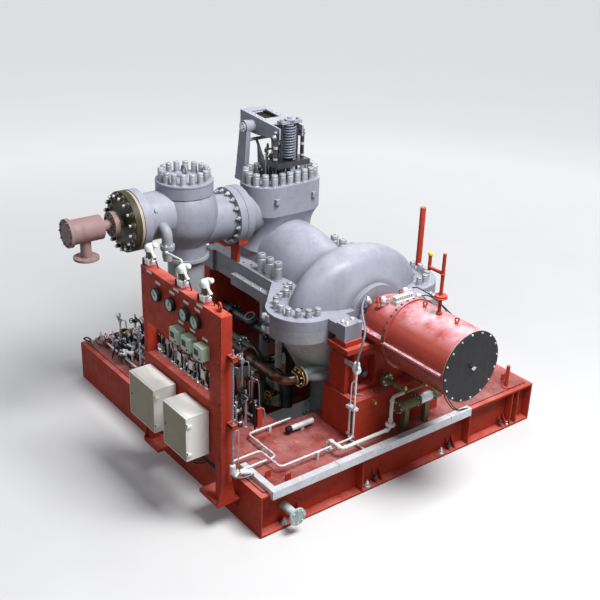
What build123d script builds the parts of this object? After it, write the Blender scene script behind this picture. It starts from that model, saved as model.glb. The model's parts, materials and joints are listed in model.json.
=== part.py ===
from build123d import *
import os
from math import cos, pi, radians, sin

# A single-casing steam turbine on its fabricated skid.
# Origin: middle of the skid at floor level, +X along the shaft to the coupling, +Z up.
# All sizes are in millimetres.

# Skid
skid_length = 3900
skid_width = 3940
beam_height = 488
beam_flange = 25
beam_web = 16
end_beam_width = 220
cross_beam_width = 200
side_flange_width = 150
cross_beam_inset = (800, 450)
stiffener_thickness = 16
middle_stiffener_y = (-660, 930)
far_stiffener_inset = (230, 330)
anchor_edge_distance = 50
anchor_spacing_y = 1100
anchor_hole_radius = 17
deck_thickness = 12
deck_inset = 60
deck_opening_x = (-350, 1000)
deck_opening_half_width = 1050
deck_opening_radius = 60
deck_top = beam_height + deck_thickness
cross_beam_x = (cross_beam_inset[0] - skid_length / 2, 0, skid_length / 2 - cross_beam_inset[1])

# Shaft and split line
shaft_height = 1650
split_flange_thickness = 130
seat_gap = 0.3

# Casing form: half-width and height above the split line at stations along the shaft
casing_stations = (
    (-980, 400, 430),
    (-840, 452, 540),
    (-560, 468, 600),
    (-200, 468, 592),
    (130, 456, 528),
    (380, 450, 458),
    (520, 520, 492),
    (640, 660, 575),
    (760, 815, 640),
    (880, 860, 660),
    (1000, 815, 635),
    (1090, 660, 560),
    (1160, 500, 450),
    (1200, 400, 365),
)
rear_gland_radius = 260
rear_gland_length = 30
front_gland_radius = 340
front_gland_end_x = 1262

# Split flange
hp_flange_half_width = 620
hp_flange_start_x = -950
hp_ledge = 80
hp_ledge_x = (-500, 400)
foot_arm_y = (480, 660)
foot_arm_end_x = -1120
hood_x = 880
hood_flange_radius = 385
hood_flange_centre_y = 720
flange_shoulder_x = 200
flange_shoulder_y = 940
flange_shoulder_overlap = 60
flange_lug_x = 800
flange_lug_y = 1092
flange_lug_radius = 42
flange_lug_height = 76
flange_lug_gap = 26

# Exhaust below the hood
exhaust_top_half_width = 350
exhaust_top_half_length = 980
exhaust_waist_half_length = 470
exhaust_waist_drop = 890
exhaust_waist_height = shaft_height - exhaust_waist_drop
exhaust_x = 640
exhaust_pipe_radius = 280
exhaust_flange_radius = 370
exhaust_flange_thickness = 35
exhaust_face_height = 120
exhaust_bolt_circle = 660
exhaust_bolt_count = 16
exhaust_hole_radius = 13

# Casing palms at the exhaust end
palm_y = (440, 670)
palm_arm_start_x = 1150
palm_block_x = (1400, 1540)
palm_drop = 30
palm_rise = 150

# Steam chest
chest_x = -520
chest_half_width = 300
chest_half_length = 500
chest_rise = 1040
chest_wall_height = 350
chest_shoulder_height = 210
chest_foot_drop = 230
chest_neck_half_width = 235
chest_neck_half_length = 405
chest_foot_flare = 70
chest_cover_thickness = 50
chest_cover_rim = 14
chest_lug_y = 260
chest_lug_width = 56
chest_lug_depth = 60
chest_lug_height = 60
chest_lug_drop = 130
chest_top = shaft_height + chest_rise
chest_wall_bottom = chest_top - chest_wall_height
chest_neck_height = chest_wall_bottom - chest_shoulder_height
chest_foot_height = chest_neck_height - chest_foot_drop

# Steam inlet flanges
inlet_x = -550
outlet_flange_lift = 16
inlet_flange_lift = 184
pipe_flange_radius = 328
pipe_flange_thickness = 90
nozzle_radius = 258
nozzle_taper = 30
nozzle_root_y = -200
chest_nozzle_reach = 142
flange_gasket = 3
outlet_flange_height = chest_wall_bottom + outlet_flange_lift
inlet_flange_height = outlet_flange_height + inlet_flange_lift
chest_nozzle_face_y = -(chest_half_length + chest_nozzle_reach)

# Stop valve: the bulge is given as radius and height from the inlet flange's centre
valve_reach = 628
valve_inlet_reach = 660
valve_top_rise = 310
valve_rim_radius = 315
valve_rim_height = 110
valve_rim_step = 15
valve_bulge = ((350, 80), (362, -70), (338, -210), (272, -320))
valve_neck_radius = 230
valve_neck_start = 390
valve_neck_end = 520
valve_cover_thickness = 40
eye_shank_radius = 16
eye_shank_height = 60
eye_ring_radius = 45
eye_bar_radius = 14
actuator_radius = 205
actuator_length = 690
actuator_flange_radius = 262
actuator_flange_thickness = 36
valve_y = chest_nozzle_face_y - valve_reach
valve_inlet_face_y = valve_y - valve_inlet_reach
valve_top = inlet_flange_height + valve_top_rise
valve_neck_bottom = inlet_flange_height - valve_neck_end
actuator_bottom = valve_neck_bottom - actuator_length

# Drain elbow on the stop valve's inlet neck
valve_drain_y = 430
valve_drain_drop = 40
valve_drain_start = 130
valve_drain_reach = 350
valve_drain_length = 170
valve_drain_radius = 58
valve_drain_bend = 90
valve_drain_flange_radius = 78
valve_drain_flange_thickness = 30
valve_drain_body_radius = 48
valve_drain_body_height = 150

# Supply line pieces on the inlet flange
spacer_thickness = 36
spacer_radius = 320
blank_thickness = 72
supply_pipe_radius = 58
supply_flange_radius = 135
supply_flange_thickness = 26
supply_joint_reach = 220
vessel_radius = 130
vessel_reach = (360, 710)
vessel_cover_radius = 152
vessel_cover_thickness = 34
vessel_outlet_drop = 320
vessel_bolt_circle = 210
vessel_bolt_count = 8
vessel_hole_radius = 9

# Cradle under the flange pair
cradle_half_width = 60
cradle_depth = 45
cradle_angle = 38
cradle_stem_half_width = 70
cradle_stem_overlap = 20

# Nuts
cap_nut_sides = 12
chest_nut_radius = 40
chest_nut_height = 140
chest_nut_count = 22
chest_nut_inset = 62
valve_nut_radius = 34
valve_nut_height = 120
valve_nut_count = 16
valve_nut_circle = 252
flange_nut_start_angle = 11
big_nut_radius = 50
big_nut_height = 220
big_nut_x = (-120, 35, 190)
big_nut_y = 530
hood_nut_radius = 34
hood_nut_height = 95
hood_nut_circle = 275
hood_nut_count = 9
throat_nut_places = ((520, 655), (470, 575))
pipe_nut_radius = 24
pipe_nut_height = 46
pipe_nut_circle = 286
pipe_nut_count = 16

# Governor lever gear on the steam chest
lever_pivot_x = -850
lever_pivot_rise = 560
lever_pin_radius = 30
lever_pin_disc_radius = 56
lever_pin_disc_thickness = 16
lever_post_y = (240, 300)
lever_side_y = (150, 170)
lever_front_x = -330
lever_rear_x = -1100
lever_rear_depth = (30, 140)
lever_front_depth = (45, 80)
lever_belly_depth = 85
lever_belly_half_length = 90
lever_tube_radius = 70
lever_plate_thickness = 18
lever_plate_front_x = -500
lever_window_x = (-990, -700)
lever_window_half_width = 100
link_pin_x = -370
link_pin_radius = 14
link_clearance = 5
link_half_width = 22
link_thickness = 24
link_top_rise = 30
post_foot_width = 200
post_foot_gap = 8
post_head_radius = 78
bracket_foot_drop = 90
bracket_foot_thickness = 36
bracket_pad_thickness = 30
bracket_pad_height = 200
crosshead_rise = 200
crosshead_thickness = 60
crosshead_half_length = 230
crosshead_half_width = 100
spring_radius = 80
spring_core_radius = 62
spring_rise = 120
spring_turns = 10
tie_rod_radius = 12
tie_rod_y = 112
tie_nut_radius = 20
tie_nut_height = 20
bridge_thickness = 30
bridge_half_width = 50
bridge_overhang = 26
spindle_radius = 26
lever_pivot_height = chest_top + lever_pivot_rise
bracket_foot_height = chest_top - bracket_foot_drop
crosshead_height = chest_top + crosshead_rise
spring_top = lever_pivot_height + spring_rise

# Governor-end pedestal and bearing
governor_pedestal_x = (-1420, -990)
governor_pedestal_half_width = 680
governor_bearing_radius = 300
governor_bearing_x = (-1620, -1015)
governor_wing_inset = (40, 90)
governor_wing_half_width = 370
governor_wing_thickness = 30
governor_cover_step = 40
governor_cover_thickness = 25
governor_pedestal_top = shaft_height - split_flange_thickness

# Exhaust-end pedestal
pedestal_x = (1180, 1700)
pedestal_half_width = 620
pedestal_box_height = 470
pedestal_body_x = (1290, 1560)
pedestal_body_half_width = 540
pedestal_cheek_x = (1240, 1500)
pedestal_cheek_half_width = 600
pedestal_cheek_drop = 80
pedestal_cheek_radius = 85
pedestal_plate_drop = 90
pedestal_plate_thickness = 60
pedestal_plate_x = (1290, 1620)
pedestal_plate_half_width = 690
palm_pad_overhang = 20
recess_y = (240, 500)
recess_sill = 45
recess_head = 110
recess_depth = 110
recess_radius = 70
pedestal_box_top = deck_top + pedestal_box_height
pedestal_plate_top = shaft_height - pedestal_plate_drop
pedestal_plate_bottom = pedestal_plate_top - pedestal_plate_thickness

# Bearing and coupling guard: the drum's radius at places along the shaft
bearing_radius = 330
bearing_x = (1270, 1780)
bearing_profile = ((1560, 326), (1430, 302), (1330, 250))
bearing_nose_radius = 190
bearing_flange_width = 70
bearing_flange_thickness = 30
bearing_flange_inset = 60
plug_x = 1530
plug_angle = 128
plug_radius = 38
plug_reach = 350
seam_radius = 390
seam_thickness = 20
guard_radius = 370
guard_end_x = 2650
guard_strip_width = 38
guard_strip_thickness = 14
guard_strip_end_gap = 20
end_cover_radius = 376
end_cover_thickness = 14
end_fitting_radius = 14
end_fitting_length = 30

# Vent pipes
breather_x = 2170
breather_y = 0
breather_radius = 18
breather_rise = 1020
breather_collar_radius = 30
breather_collar_height = 50
breather_ring_radius = 62
breather_ring_rise = 550
breather_ring_thickness = 30
breather_tee_rise = 810
breather_branch_reach = 190
breather_branch_down = 30
breather_branch_up = 130
far_vent_x = 665
far_vent_y = 1180
far_vent_radius = 34
far_vent_height = 1960
far_vent_foot_radius = 64
far_vent_foot_thickness = 24

# Gauge panel
panel_stand_off = 230
panel_left_x = 130
panel_right_x = 1600
panel_top = 2340
column_width = 120
left_column_width = 80
column_bottom = 310
board_thickness = 8
gauge_board_height = 600
side_band_x = 1400
side_band_height = 390
lower_board_gap = 360
lower_board_height = 620
lip_depth = 90
foot_plate_thickness = 20
foot_plate_overhang = 50
foot_plate_reach = 220
foot_skirt_height = 230
foot_skirt_thickness = 12
bracket_thickness = 20
gusset_depth = 110
gusset_half_thickness = 8
gauge_x = (470, 740, 1000, 1200)
gauge_drop = 200
gauge_radius = 75
gauge_depth = 50
signal_box_x = (900, 1110, 1330)
signal_box_drop = 450
signal_box_size = 150
signal_box_depth = 90
signal_box_corner = 14
switch_x = (200, 830, 1230)
switch_radius = 55
switch_height = 250
panel_face_y = -(skid_width / 2 + panel_stand_off)
gauge_board_bottom = panel_top - gauge_board_height
side_band_bottom = gauge_board_bottom - side_band_height
lower_board_top = gauge_board_bottom - lower_board_gap
lower_board_bottom = lower_board_top - lower_board_height

# Junction boxes with hinged doors
box_edges_x = ((290, 790), (970, 1400))
box_base_gap = 30
box_heights = (490, 480)
box_back_gap = 10
box_depth = 235
box_wall = 3
box_spacer_inset = 60
box_spacer_half_length = 100
box_spacer_half_height = 20
door_thickness = 20
door_gap = 2
hinge_offset = 10
hinge_pin_radius = 4
hinge_knuckle_radius = 8
hinge_knuckle_length = 25
hinge_inset = 80
hinge_web = 6
hinge_base_depth = (8, 34)

# Cable trunking on the skid edge
tray_reach = 54
tray_lap = 20
tray_width = 70
tray_height = 48
tray_drop = 46
tray_near_inset = 100
tray_far_y = 870
tray_rear_x = 1430

# Leak-off branch on the exhaust casing
leak_x = 980
leak_rise = 240
leak_pipe_radius = 62
leak_stub_wall = 6
leak_flange_radius = 110
leak_flange_thickness = 24
leak_face_y = -780
leak_run_y = -1000
leak_end_x = 300
leak_bend_radius = 150
leak_height = exhaust_waist_height + leak_rise

# Drain stub on the drive end of the skid
drain_inset = 340
drain_height = 212
drain_pipe_radius = 45
drain_flange_radius = 96
drain_flange_thickness = 20
drain_length = 150
drain_bolt_circle = 152
drain_bolt_count = 8
drain_hole_radius = 9

# Oil pipes beside the exhaust-end pedestal
oil_pipe_radius = 19
oil_bend_radius = 40
oil_start = (1680, -930)
oil_corner_x = 1890
oil_riser_y = -270
oil_run_rise = 130
oil_top_rise = 520
oil_join_y = -110
oil_foot_radius = 44
oil_foot_thickness = 14
oil_valve_rise = 175
oil_valve_radius = 52
oil_valve_thickness = 24
return_pipe_y = -150
return_pipe_rise = 65
return_bend_x = 1790
return_bend_radius = 60
return_flange_x = 1640
return_flange_radius = 74
return_flange_thickness = 40
return_pipe_radius = 26
return_branch_radius = 16
return_branch_y = 200

# Oil strainer on two feet
strainer_x = 1830
strainer_y = (-130, 490)
strainer_height = 310
strainer_radius = 58
strainer_band = 12
strainer_band_y = (150, 380)
strainer_foot_y = (0, 300)
strainer_foot_size = 60

# Conduits over the deck
conduit_radius = 11
conduit_bend = 45
conduit_rise = 64
conduit_cross_rise = 92
conduit_x = (1040, 1540)
conduit_y = (-950, -1500, -1930)
cross_conduit_x = (1400, 1750)
cross_conduit_y = (-1930, -1600, -665)
cross_conduit_top = 870
short_conduit_x = 1660
short_conduit_gap = 25
short_conduit_top = 450
short_conduit_rise = 30
clip_size = 30
clip_rise = 440
probe_radius = 32
probe_x = 1205
probe_y = (-1060, -770)
probe_rise = 60
probe_foot_width = 40


def block(x, y, z):
    """A square-edged block between three pairs of limits."""
    middle = ((x[0] + x[1]) / 2, (y[0] + y[1]) / 2, (z[0] + z[1]) / 2)
    return Pos(*middle) * Box(abs(x[1] - x[0]), abs(y[1] - y[0]), abs(z[1] - z[0]))


def bar(start, end, radius, end_radius=None):
    """A round bar, or a cone where the end radius differs, from one point to another."""
    run = Vector(*end) - Vector(*start)
    base = (Align.CENTER, Align.CENTER, Align.MIN)
    if end_radius is None:
        shape = Cylinder(radius, run.length, align=base)
    else:
        shape = Cone(radius, end_radius, run.length, align=base)
    return Plane(origin=start, z_dir=run) * shape


def prism(start, end, radius, sides):
    """A many-sided prism from one point to another."""
    run = Vector(*end) - Vector(*start)
    plane = Plane(origin=start, z_dir=run)
    return extrude(plane * RegularPolygon(radius, sides), run.length, dir=plane.z_dir)


def bent_pipe(points, radius, bend_radius):
    """A pipe through the points, with a tangent bend at each corner."""
    path = FilletPolyline(*points, radius=bend_radius)
    start = Plane(origin=path @ 0, z_dir=path % 0)
    return sweep(start * Circle(radius), path=path)


def mirrored(shape):
    """The same shape on the other side of the shaft."""
    return mirror(shape, Plane.XZ)


def both_sides(shape):
    """The shape together with its image across the shaft."""
    return shape + mirrored(shape)


def circle_places(count, radius, first=0):
    """Points evenly spaced on a circle, as pairs."""
    angles = [radians(first + 360 * step / count) for step in range(count)]
    return [(radius * cos(angle), radius * sin(angle)) for angle in angles]


def stadium(half_width, half_length):
    """A plan outline with straight sides along Y and round ends."""
    straight = 2 * (half_length - half_width)
    ends = Locations((0, straight / 2), (0, -straight / 2))
    return Rectangle(2 * half_width, straight) + ends * Circle(half_width)


def stadium_places(count, half_width, half_length):
    """Points evenly spaced along a stadium outline, as pairs."""
    straight = 2 * (half_length - half_width)
    arc = pi * half_width
    total = 2 * (straight + arc)
    places = []
    for step in range(count):
        run = total * (step + 0.5) / count
        side = 1 if run < total / 2 else -1
        run = run % (total / 2)
        if run < straight:
            places.append((side * half_width, side * (run - straight / 2)))
        else:
            angle = (run - straight) / half_width
            x = side * half_width * cos(angle)
            places.append((x, side * (straight / 2 + half_width * sin(angle))))
    return places


def upper_half(shape):
    """The part of a shape above the shaft."""
    reach = skid_length
    return shape & block((-reach, reach), (-reach, reach), (shaft_height, shaft_height + reach))


def lower_half(shape):
    """The part of a shape below the shaft."""
    reach = skid_length
    return shape & block((-reach, reach), (-reach, reach), (shaft_height - reach, shaft_height))


# Skid


def i_profile(width, web):
    """The outline of an I-beam, standing on the floor."""
    side = width / 2
    top = beam_height
    points = [
        (-side, 0),
        (side, 0),
        (side, beam_flange),
        (web / 2, beam_flange),
        (web / 2, top - beam_flange),
        (side, top - beam_flange),
        (side, top),
        (-side, top),
        (-side, top - beam_flange),
        (-web / 2, top - beam_flange),
        (-web / 2, beam_flange),
        (-side, beam_flange),
    ]
    return make_face(Polyline(*points, close=True))


def cross_member(x, width, stiffeners):
    """A beam across the skid, its flanges coped round those of the side beams."""
    reach = skid_width / 2 - beam_web
    beam = Pos(x, 0, 0) * extrude(Plane.XZ * i_profile(width, beam_web), reach, both=True)
    side = (x - width / 2, x + width / 2)
    inner = skid_width / 2 - side_flange_width
    for low in (0, beam_height - beam_flange):
        cope = block(side, (inner, reach), (low, low + beam_flange))
        beam -= both_sides(cope)
    for y in stiffeners:
        rib_y = (y - stiffener_thickness / 2, y + stiffener_thickness / 2)
        beam += block(side, rib_y, (beam_flange, beam_height - beam_flange))
    return beam


def end_beam(end):
    """The beam at one end of the skid, with its anchor bolt holes."""
    x = end * (skid_length - end_beam_width) / 2
    stiffeners = list(middle_stiffener_y)
    for inset in far_stiffener_inset:
        stiffeners.append(skid_width / 2 - inset)
    beam = cross_member(x, end_beam_width, stiffeners)
    hole_x = end * (skid_length / 2 - anchor_edge_distance)
    for y in (-anchor_spacing_y / 2, anchor_spacing_y / 2):
        beam -= bar((hole_x, y, 0), (hole_x, y, beam_flange), anchor_hole_radius)
    return beam


def side_beam():
    """The channel along the near side, its web outward."""
    outer = -skid_width / 2
    inner = outer + side_flange_width
    web = outer + beam_web
    top = beam_height
    points = [
        (outer, 0),
        (inner, 0),
        (inner, beam_flange),
        (web, beam_flange),
        (web, top - beam_flange),
        (inner, top - beam_flange),
        (inner, top),
        (outer, top),
    ]
    return extrude(Plane.YZ * make_face(Polyline(*points, close=True)), skid_length / 2, both=True)


def deck_plate():
    """The top plate, open below the exhaust casing."""
    reach_x = skid_length / 2 - deck_inset
    reach_y = skid_width / 2 - deck_inset
    height = (beam_height, beam_height + deck_thickness)
    plate = block((-reach_x, reach_x), (-reach_y, reach_y), height)
    half = deck_opening_half_width
    hole = block(deck_opening_x, (-half, half), height)
    hole = fillet(hole.edges().filter_by(Axis.Z), deck_opening_radius)
    return plate - hole


def cable_tray():
    """Closed trunking: one run hooked over the drive-end edge, one across the deck."""
    edge = skid_length / 2
    outer = edge + tray_reach
    inner = outer - tray_width
    top = deck_top + tray_height
    near = -skid_width / 2 + tray_near_inset
    end_run = block((edge, outer), (near, tray_far_y), (deck_top - tray_drop, top))
    lap_bottom = deck_top - deck_thickness
    end_run += block((edge - tray_lap, edge), (near, tray_far_y), (lap_bottom, top))
    side_run = block((tray_rear_x, inner), (near, near + tray_width), (deck_top, top))
    corner = block((inner, edge - tray_lap), (near, near + tray_width), (deck_top, top))
    return end_run + side_run + corner


def drain_stub():
    """A drain pipe through the web of the drive-end beam, with its flange."""
    start_x = (skid_length - end_beam_width) / 2 + beam_web / 2
    face_x = skid_length / 2 + drain_length
    centre = (drain_inset - skid_width / 2, drain_height)
    pipe = bar((start_x, *centre), (face_x, *centre), drain_pipe_radius)
    flange = bar((face_x - drain_flange_thickness, *centre), (face_x, *centre), drain_flange_radius)
    stub = pipe + flange
    for y, z in circle_places(drain_bolt_count, drain_bolt_circle / 2):
        hole = (centre[0] + y, centre[1] + z)
        stub -= bar((face_x - drain_flange_thickness, *hole), (face_x, *hole), drain_hole_radius)
    return stub


# Casing


def arch(x, half_width, height):
    """A half ellipse across the shaft, standing on the split line."""
    plane = Plane(origin=(x, 0, shaft_height), x_dir=(0, 1, 0), z_dir=(1, 0, 0))
    curve = EllipticalCenterArc((0, 0), half_width, height, start_angle=0, arc_size=180)
    return plane * make_face(curve + Line((-half_width, 0), (half_width, 0)))


def casing_skin():
    """The smooth upper form: barrel, saddle and rounded exhaust hood in one skin."""
    return loft([arch(*station) for station in casing_stations])


def gland_bosses():
    """The round bosses where the shaft leaves the casing at each end."""
    rear = casing_stations[0][0]
    front = casing_stations[-1][0]
    height = shaft_height
    shape = bar((rear - rear_gland_length, 0, height), (rear, 0, height), rear_gland_radius)
    return shape + bar((front, 0, height), (front_gland_end_x, 0, height), front_gland_radius)


def split_outline(half_width):
    """The plan outline of the casing flange at the split line."""
    left = hood_x - hood_flange_radius
    right = hood_x + hood_flange_radius
    shoulder = hood_flange_centre_y
    strip_length = left - hp_flange_start_x
    strip = Pos(hp_flange_start_x + strip_length / 2, 0) * Rectangle(strip_length, 2 * half_width)
    middle = Pos(hood_x, 0) * Rectangle(right - left, 2 * shoulder)
    ends = Locations((hood_x, shoulder), (hood_x, -shoulder)) * Circle(hood_flange_radius)
    outline = strip + middle + ends
    shoulder_x = left + flange_shoulder_overlap
    wedge_points = (
        (flange_shoulder_x, half_width),
        (shoulder_x, flange_shoulder_y),
        (shoulder_x, 0),
        (flange_shoulder_x, 0),
    )
    wedge = make_face(Polyline(*wedge_points, close=True))
    return outline + wedge + mirror(wedge, Plane.XZ)


def flange_lug(side):
    """The jacking lug on the hood flange's rim, above or below the split line."""
    near = shaft_height + side * flange_lug_gap
    far = near + side * flange_lug_height
    lug = bar((flange_lug_x, -flange_lug_y, near), (flange_lug_x, -flange_lug_y, far), flange_lug_radius)
    return both_sides(lug)


def foot_arm(height):
    """The arm that rests on the governor pedestal."""
    arm = block((foot_arm_end_x, hp_flange_start_x), foot_arm_y, height)
    return both_sides(arm)


def steam_chest():
    """The upright chest on the barrel: straight wall, waist and flared foot."""
    flare = chest_foot_flare
    levels = (
        (chest_foot_height, chest_neck_half_width + flare, chest_neck_half_length + flare),
        (chest_neck_height, chest_neck_half_width, chest_neck_half_length),
        (chest_wall_bottom, chest_half_width, chest_half_length),
    )
    sections = [Pos(0, 0, z) * stadium(width, length) for z, width, length in levels]
    wall = extrude(stadium(chest_half_width, chest_half_length), chest_wall_height)
    chest = Pos(chest_x, 0, 0) * (loft(sections) + Pos(0, 0, chest_wall_bottom) * wall)
    wall_x = chest_x + chest_half_width
    lug_top = chest_top - chest_lug_drop
    for y in (-chest_lug_y, chest_lug_y):
        lug_x = (wall_x - chest_lug_depth, wall_x + chest_lug_depth / 2)
        lug_y = (y - chest_lug_width / 2, y + chest_lug_width / 2)
        chest += block(lug_x, lug_y, (lug_top - chest_lug_height, lug_top))
    return chest


def chest_plate(inset):
    """The form of the chest cover, a given distance inside the chest wall."""
    plate = stadium(chest_half_width - inset, chest_half_length - inset)
    return Pos(chest_x, 0, chest_top - chest_cover_thickness) * extrude(plate, chest_cover_thickness)


def chest_nozzle():
    """The branch from the chest to its inlet flange."""
    height = outlet_flange_height
    face = chest_nozzle_face_y
    back = face + pipe_flange_thickness
    root_radius = nozzle_radius - nozzle_taper
    branch = bar((inlet_x, nozzle_root_y, height), (inlet_x, back, height), root_radius, nozzle_radius)
    flange = bar((inlet_x, back, height), (inlet_x, face, height), pipe_flange_radius)
    return branch + flange


def casing_upper():
    """Upper casing: barrel, hood, steam chest, split flange and palms."""
    flange_z = (shaft_height, shaft_height + split_flange_thickness)
    flange = extrude(split_outline(hp_flange_half_width), split_flange_thickness)
    shape = casing_skin() + Pos(0, 0, flange_z[0]) * flange + upper_half(gland_bosses())
    shape += steam_chest() + chest_nozzle()
    shape += foot_arm(flange_z) + flange_lug(1)
    arm = block((palm_arm_start_x, palm_block_x[0]), palm_y, flange_z)
    palm = block(palm_block_x, palm_y, (shaft_height - palm_drop, shaft_height + palm_rise))
    shape += both_sides(arm + palm)
    return shape - chest_plate(chest_cover_rim)


def exhaust_body():
    """The lower casing below the hood, narrowing to the exhaust pipe."""
    flange_bottom = shaft_height - split_flange_thickness
    waist = exhaust_waist_height
    top = Pos(hood_x, 0, flange_bottom) * stadium(exhaust_top_half_width, exhaust_top_half_length)
    bottom = Pos(exhaust_x, 0, waist) * stadium(exhaust_pipe_radius, exhaust_waist_half_length)
    body = loft([bottom, top])
    centre = (exhaust_x, 0)
    face = exhaust_face_height
    back = face + exhaust_flange_thickness
    body += bar((*centre, face), (*centre, waist + 1), exhaust_pipe_radius)
    flange = bar((*centre, face), (*centre, back), exhaust_flange_radius)
    for x, y in circle_places(exhaust_bolt_count, exhaust_bolt_circle / 2):
        hole = (exhaust_x + x, y)
        flange -= bar((*hole, face), (*hole, back), exhaust_hole_radius)
    return body + flange


def casing_lower():
    """Lower casing: barrel, exhaust body and the lower split flange."""
    flange_z = (shaft_height - split_flange_thickness, shaft_height)
    flange = extrude(split_outline(hp_flange_half_width), split_flange_thickness)
    ledge = block(hp_ledge_x, (hp_flange_half_width, hp_flange_half_width + hp_ledge), flange_z)
    barrel_end = hood_x - hood_flange_radius
    barrel_stations = [station for station in casing_stations if station[0] < barrel_end]
    barrel = loft([arch(*station) for station in barrel_stations])
    shape = mirror(barrel, Plane.XY.offset(shaft_height)) + Pos(0, 0, flange_z[0]) * flange
    shape += both_sides(ledge) + lower_half(gland_bosses())
    shape += foot_arm(flange_z) + flange_lug(-1)
    return shape + exhaust_body() + leak_off_stub()


def cap_nuts(places, base, radius, height):
    """Upright cap nuts at the given plan points."""
    group = []
    for x, y in places:
        group.append(prism((x, y, base), (x, y, base + height), radius, cap_nut_sides))
    return Compound(children=group)


def chest_nuts():
    """Cap nuts round the chest cover."""
    width = chest_half_width - chest_nut_inset
    length = chest_half_length - chest_nut_inset
    places = [(chest_x + x, y) for x, y in stadium_places(chest_nut_count, width, length)]
    return cap_nuts(places, chest_top, chest_nut_radius, chest_nut_height)


def casing_nuts(side):
    """Cap nuts on one side of the split flange."""
    base = shaft_height + split_flange_thickness
    barrel_places = [(x, side * big_nut_y) for x in big_nut_x]
    hood_places = [(x, side * y) for x, y in throat_nut_places]
    for step in range(hood_nut_count):
        angle = pi * step / (hood_nut_count - 1)
        y = hood_flange_centre_y + hood_nut_circle * sin(angle)
        hood_places.append((hood_x + hood_nut_circle * cos(angle), side * y))
    big = cap_nuts(barrel_places, base, big_nut_radius, big_nut_height)
    small = cap_nuts(hood_places, base, hood_nut_radius, hood_nut_height)
    return Compound(children=[big, small])


# Stop valve and supply line


def stop_valve_body():
    """The bulged stop valve body with its inlet and outlet flanges."""
    high = inlet_flange_height
    rim_bottom = valve_top - valve_rim_height
    start = (valve_rim_radius - valve_rim_step, rim_bottom)
    end = (valve_neck_radius, high - valve_neck_start)
    bulge = Spline(start, *[(radius, high + rise) for radius, rise in valve_bulge], end)
    rest = Polyline(
        end,
        (valve_neck_radius, valve_neck_bottom),
        (0, valve_neck_bottom),
        (0, valve_top),
        (valve_rim_radius, valve_top),
        (valve_rim_radius, rim_bottom),
        start,
    )
    body = revolve(Plane.XZ * make_face(bulge + rest), Axis.Z)
    body = Pos(inlet_x, valve_y, 0) * body
    outlet_face = chest_nozzle_face_y - flange_gasket
    outlet_back = outlet_face - pipe_flange_thickness
    low = outlet_flange_height
    body += bar((inlet_x, valve_y, low), (inlet_x, outlet_back, low), nozzle_radius)
    body += bar((inlet_x, outlet_back, low), (inlet_x, outlet_face, low), pipe_flange_radius)
    inlet_back = valve_inlet_face_y + pipe_flange_thickness
    body += bar((inlet_x, valve_y, high), (inlet_x, inlet_back, high), nozzle_radius)
    return body + bar((inlet_x, inlet_back, high), (inlet_x, valve_inlet_face_y, high), pipe_flange_radius)


def stop_valve_cover():
    """The cover plate of the stop valve, with its lifting eye."""
    top = valve_top + valve_cover_thickness
    plate = bar((inlet_x, valve_y, valve_top), (inlet_x, valve_y, top), valve_rim_radius)
    shank_end = (inlet_x, valve_y, top + eye_shank_height)
    shank = bar((inlet_x, valve_y, top), shank_end, eye_shank_radius)
    ring_height = top + eye_shank_height + eye_ring_radius - eye_bar_radius / 2
    eye = Pos(inlet_x, valve_y, ring_height) * Rot(90, 0, 0) * Torus(eye_ring_radius, eye_bar_radius)
    return plate + shank + eye


def stop_valve_nuts():
    """Cap nuts round the stop valve cover."""
    places = []
    for x, y in circle_places(valve_nut_count, valve_nut_circle, flange_nut_start_angle):
        places.append((inlet_x + x, valve_y + y))
    return cap_nuts(places, valve_top + valve_cover_thickness, valve_nut_radius, valve_nut_height)


def stop_valve_actuator():
    """The oil cylinder that hangs below the stop valve."""
    centre = (inlet_x, valve_y)
    shoulder = valve_neck_bottom - actuator_flange_thickness
    flange = bar((*centre, shoulder), (*centre, valve_neck_bottom), actuator_flange_radius)
    return flange + bar((*centre, actuator_bottom), (*centre, shoulder), actuator_radius)


def stop_valve_drain():
    """The drain elbow on the inlet neck, with its flange and small valve."""
    y = valve_y - valve_drain_y
    height = inlet_flange_height - valve_drain_drop
    end_x = inlet_x + valve_drain_reach
    end = height - valve_drain_length
    points = [(inlet_x + valve_drain_start, y, height), (end_x, y, height), (end_x, y, end)]
    elbow = bent_pipe(points, valve_drain_radius, valve_drain_bend)
    flange_end = end - valve_drain_flange_thickness
    elbow += bar((end_x, y, end), (end_x, y, flange_end), valve_drain_flange_radius)
    body_end = flange_end - valve_drain_body_height
    elbow += bar((end_x, y, flange_end), (end_x, y, body_end), valve_drain_body_radius)
    neck_end = (inlet_x, y - nozzle_radius, inlet_flange_height)
    neck = bar((inlet_x, valve_y, inlet_flange_height), neck_end, nozzle_radius + seat_gap)
    return elbow - neck


def flange_nuts(centre_x, face_y, centre_z):
    """Hexagon nuts in a ring on the back of a pipe flange."""
    group = []
    for x, z in circle_places(pipe_nut_count, pipe_nut_circle, flange_nut_start_angle):
        start = (centre_x + x, face_y, centre_z + z)
        end = (centre_x + x, face_y - pipe_nut_height, centre_z + z)
        group.append(prism(start, end, pipe_nut_radius, 6))
    return group


def inlet_spacer():
    """The spacer ring between the inlet flange and its blank flange."""
    face = valve_inlet_face_y
    height = inlet_flange_height
    return bar((inlet_x, face, height), (inlet_x, face - spacer_thickness, height), spacer_radius)


blank_outer_y = valve_inlet_face_y - spacer_thickness - blank_thickness


def inlet_blank():
    """The blank flange that closes the main inlet, with its bolts."""
    height = inlet_flange_height
    start = (inlet_x, valve_inlet_face_y - spacer_thickness, height)
    plate = bar(start, (inlet_x, blank_outer_y, height), pipe_flange_radius)
    for nut in flange_nuts(inlet_x, blank_outer_y, height):
        plate += nut
    return plate


vessel_front_y = valve_inlet_face_y - vessel_reach[1]
vessel_back_y = valve_inlet_face_y - vessel_reach[0]


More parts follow.
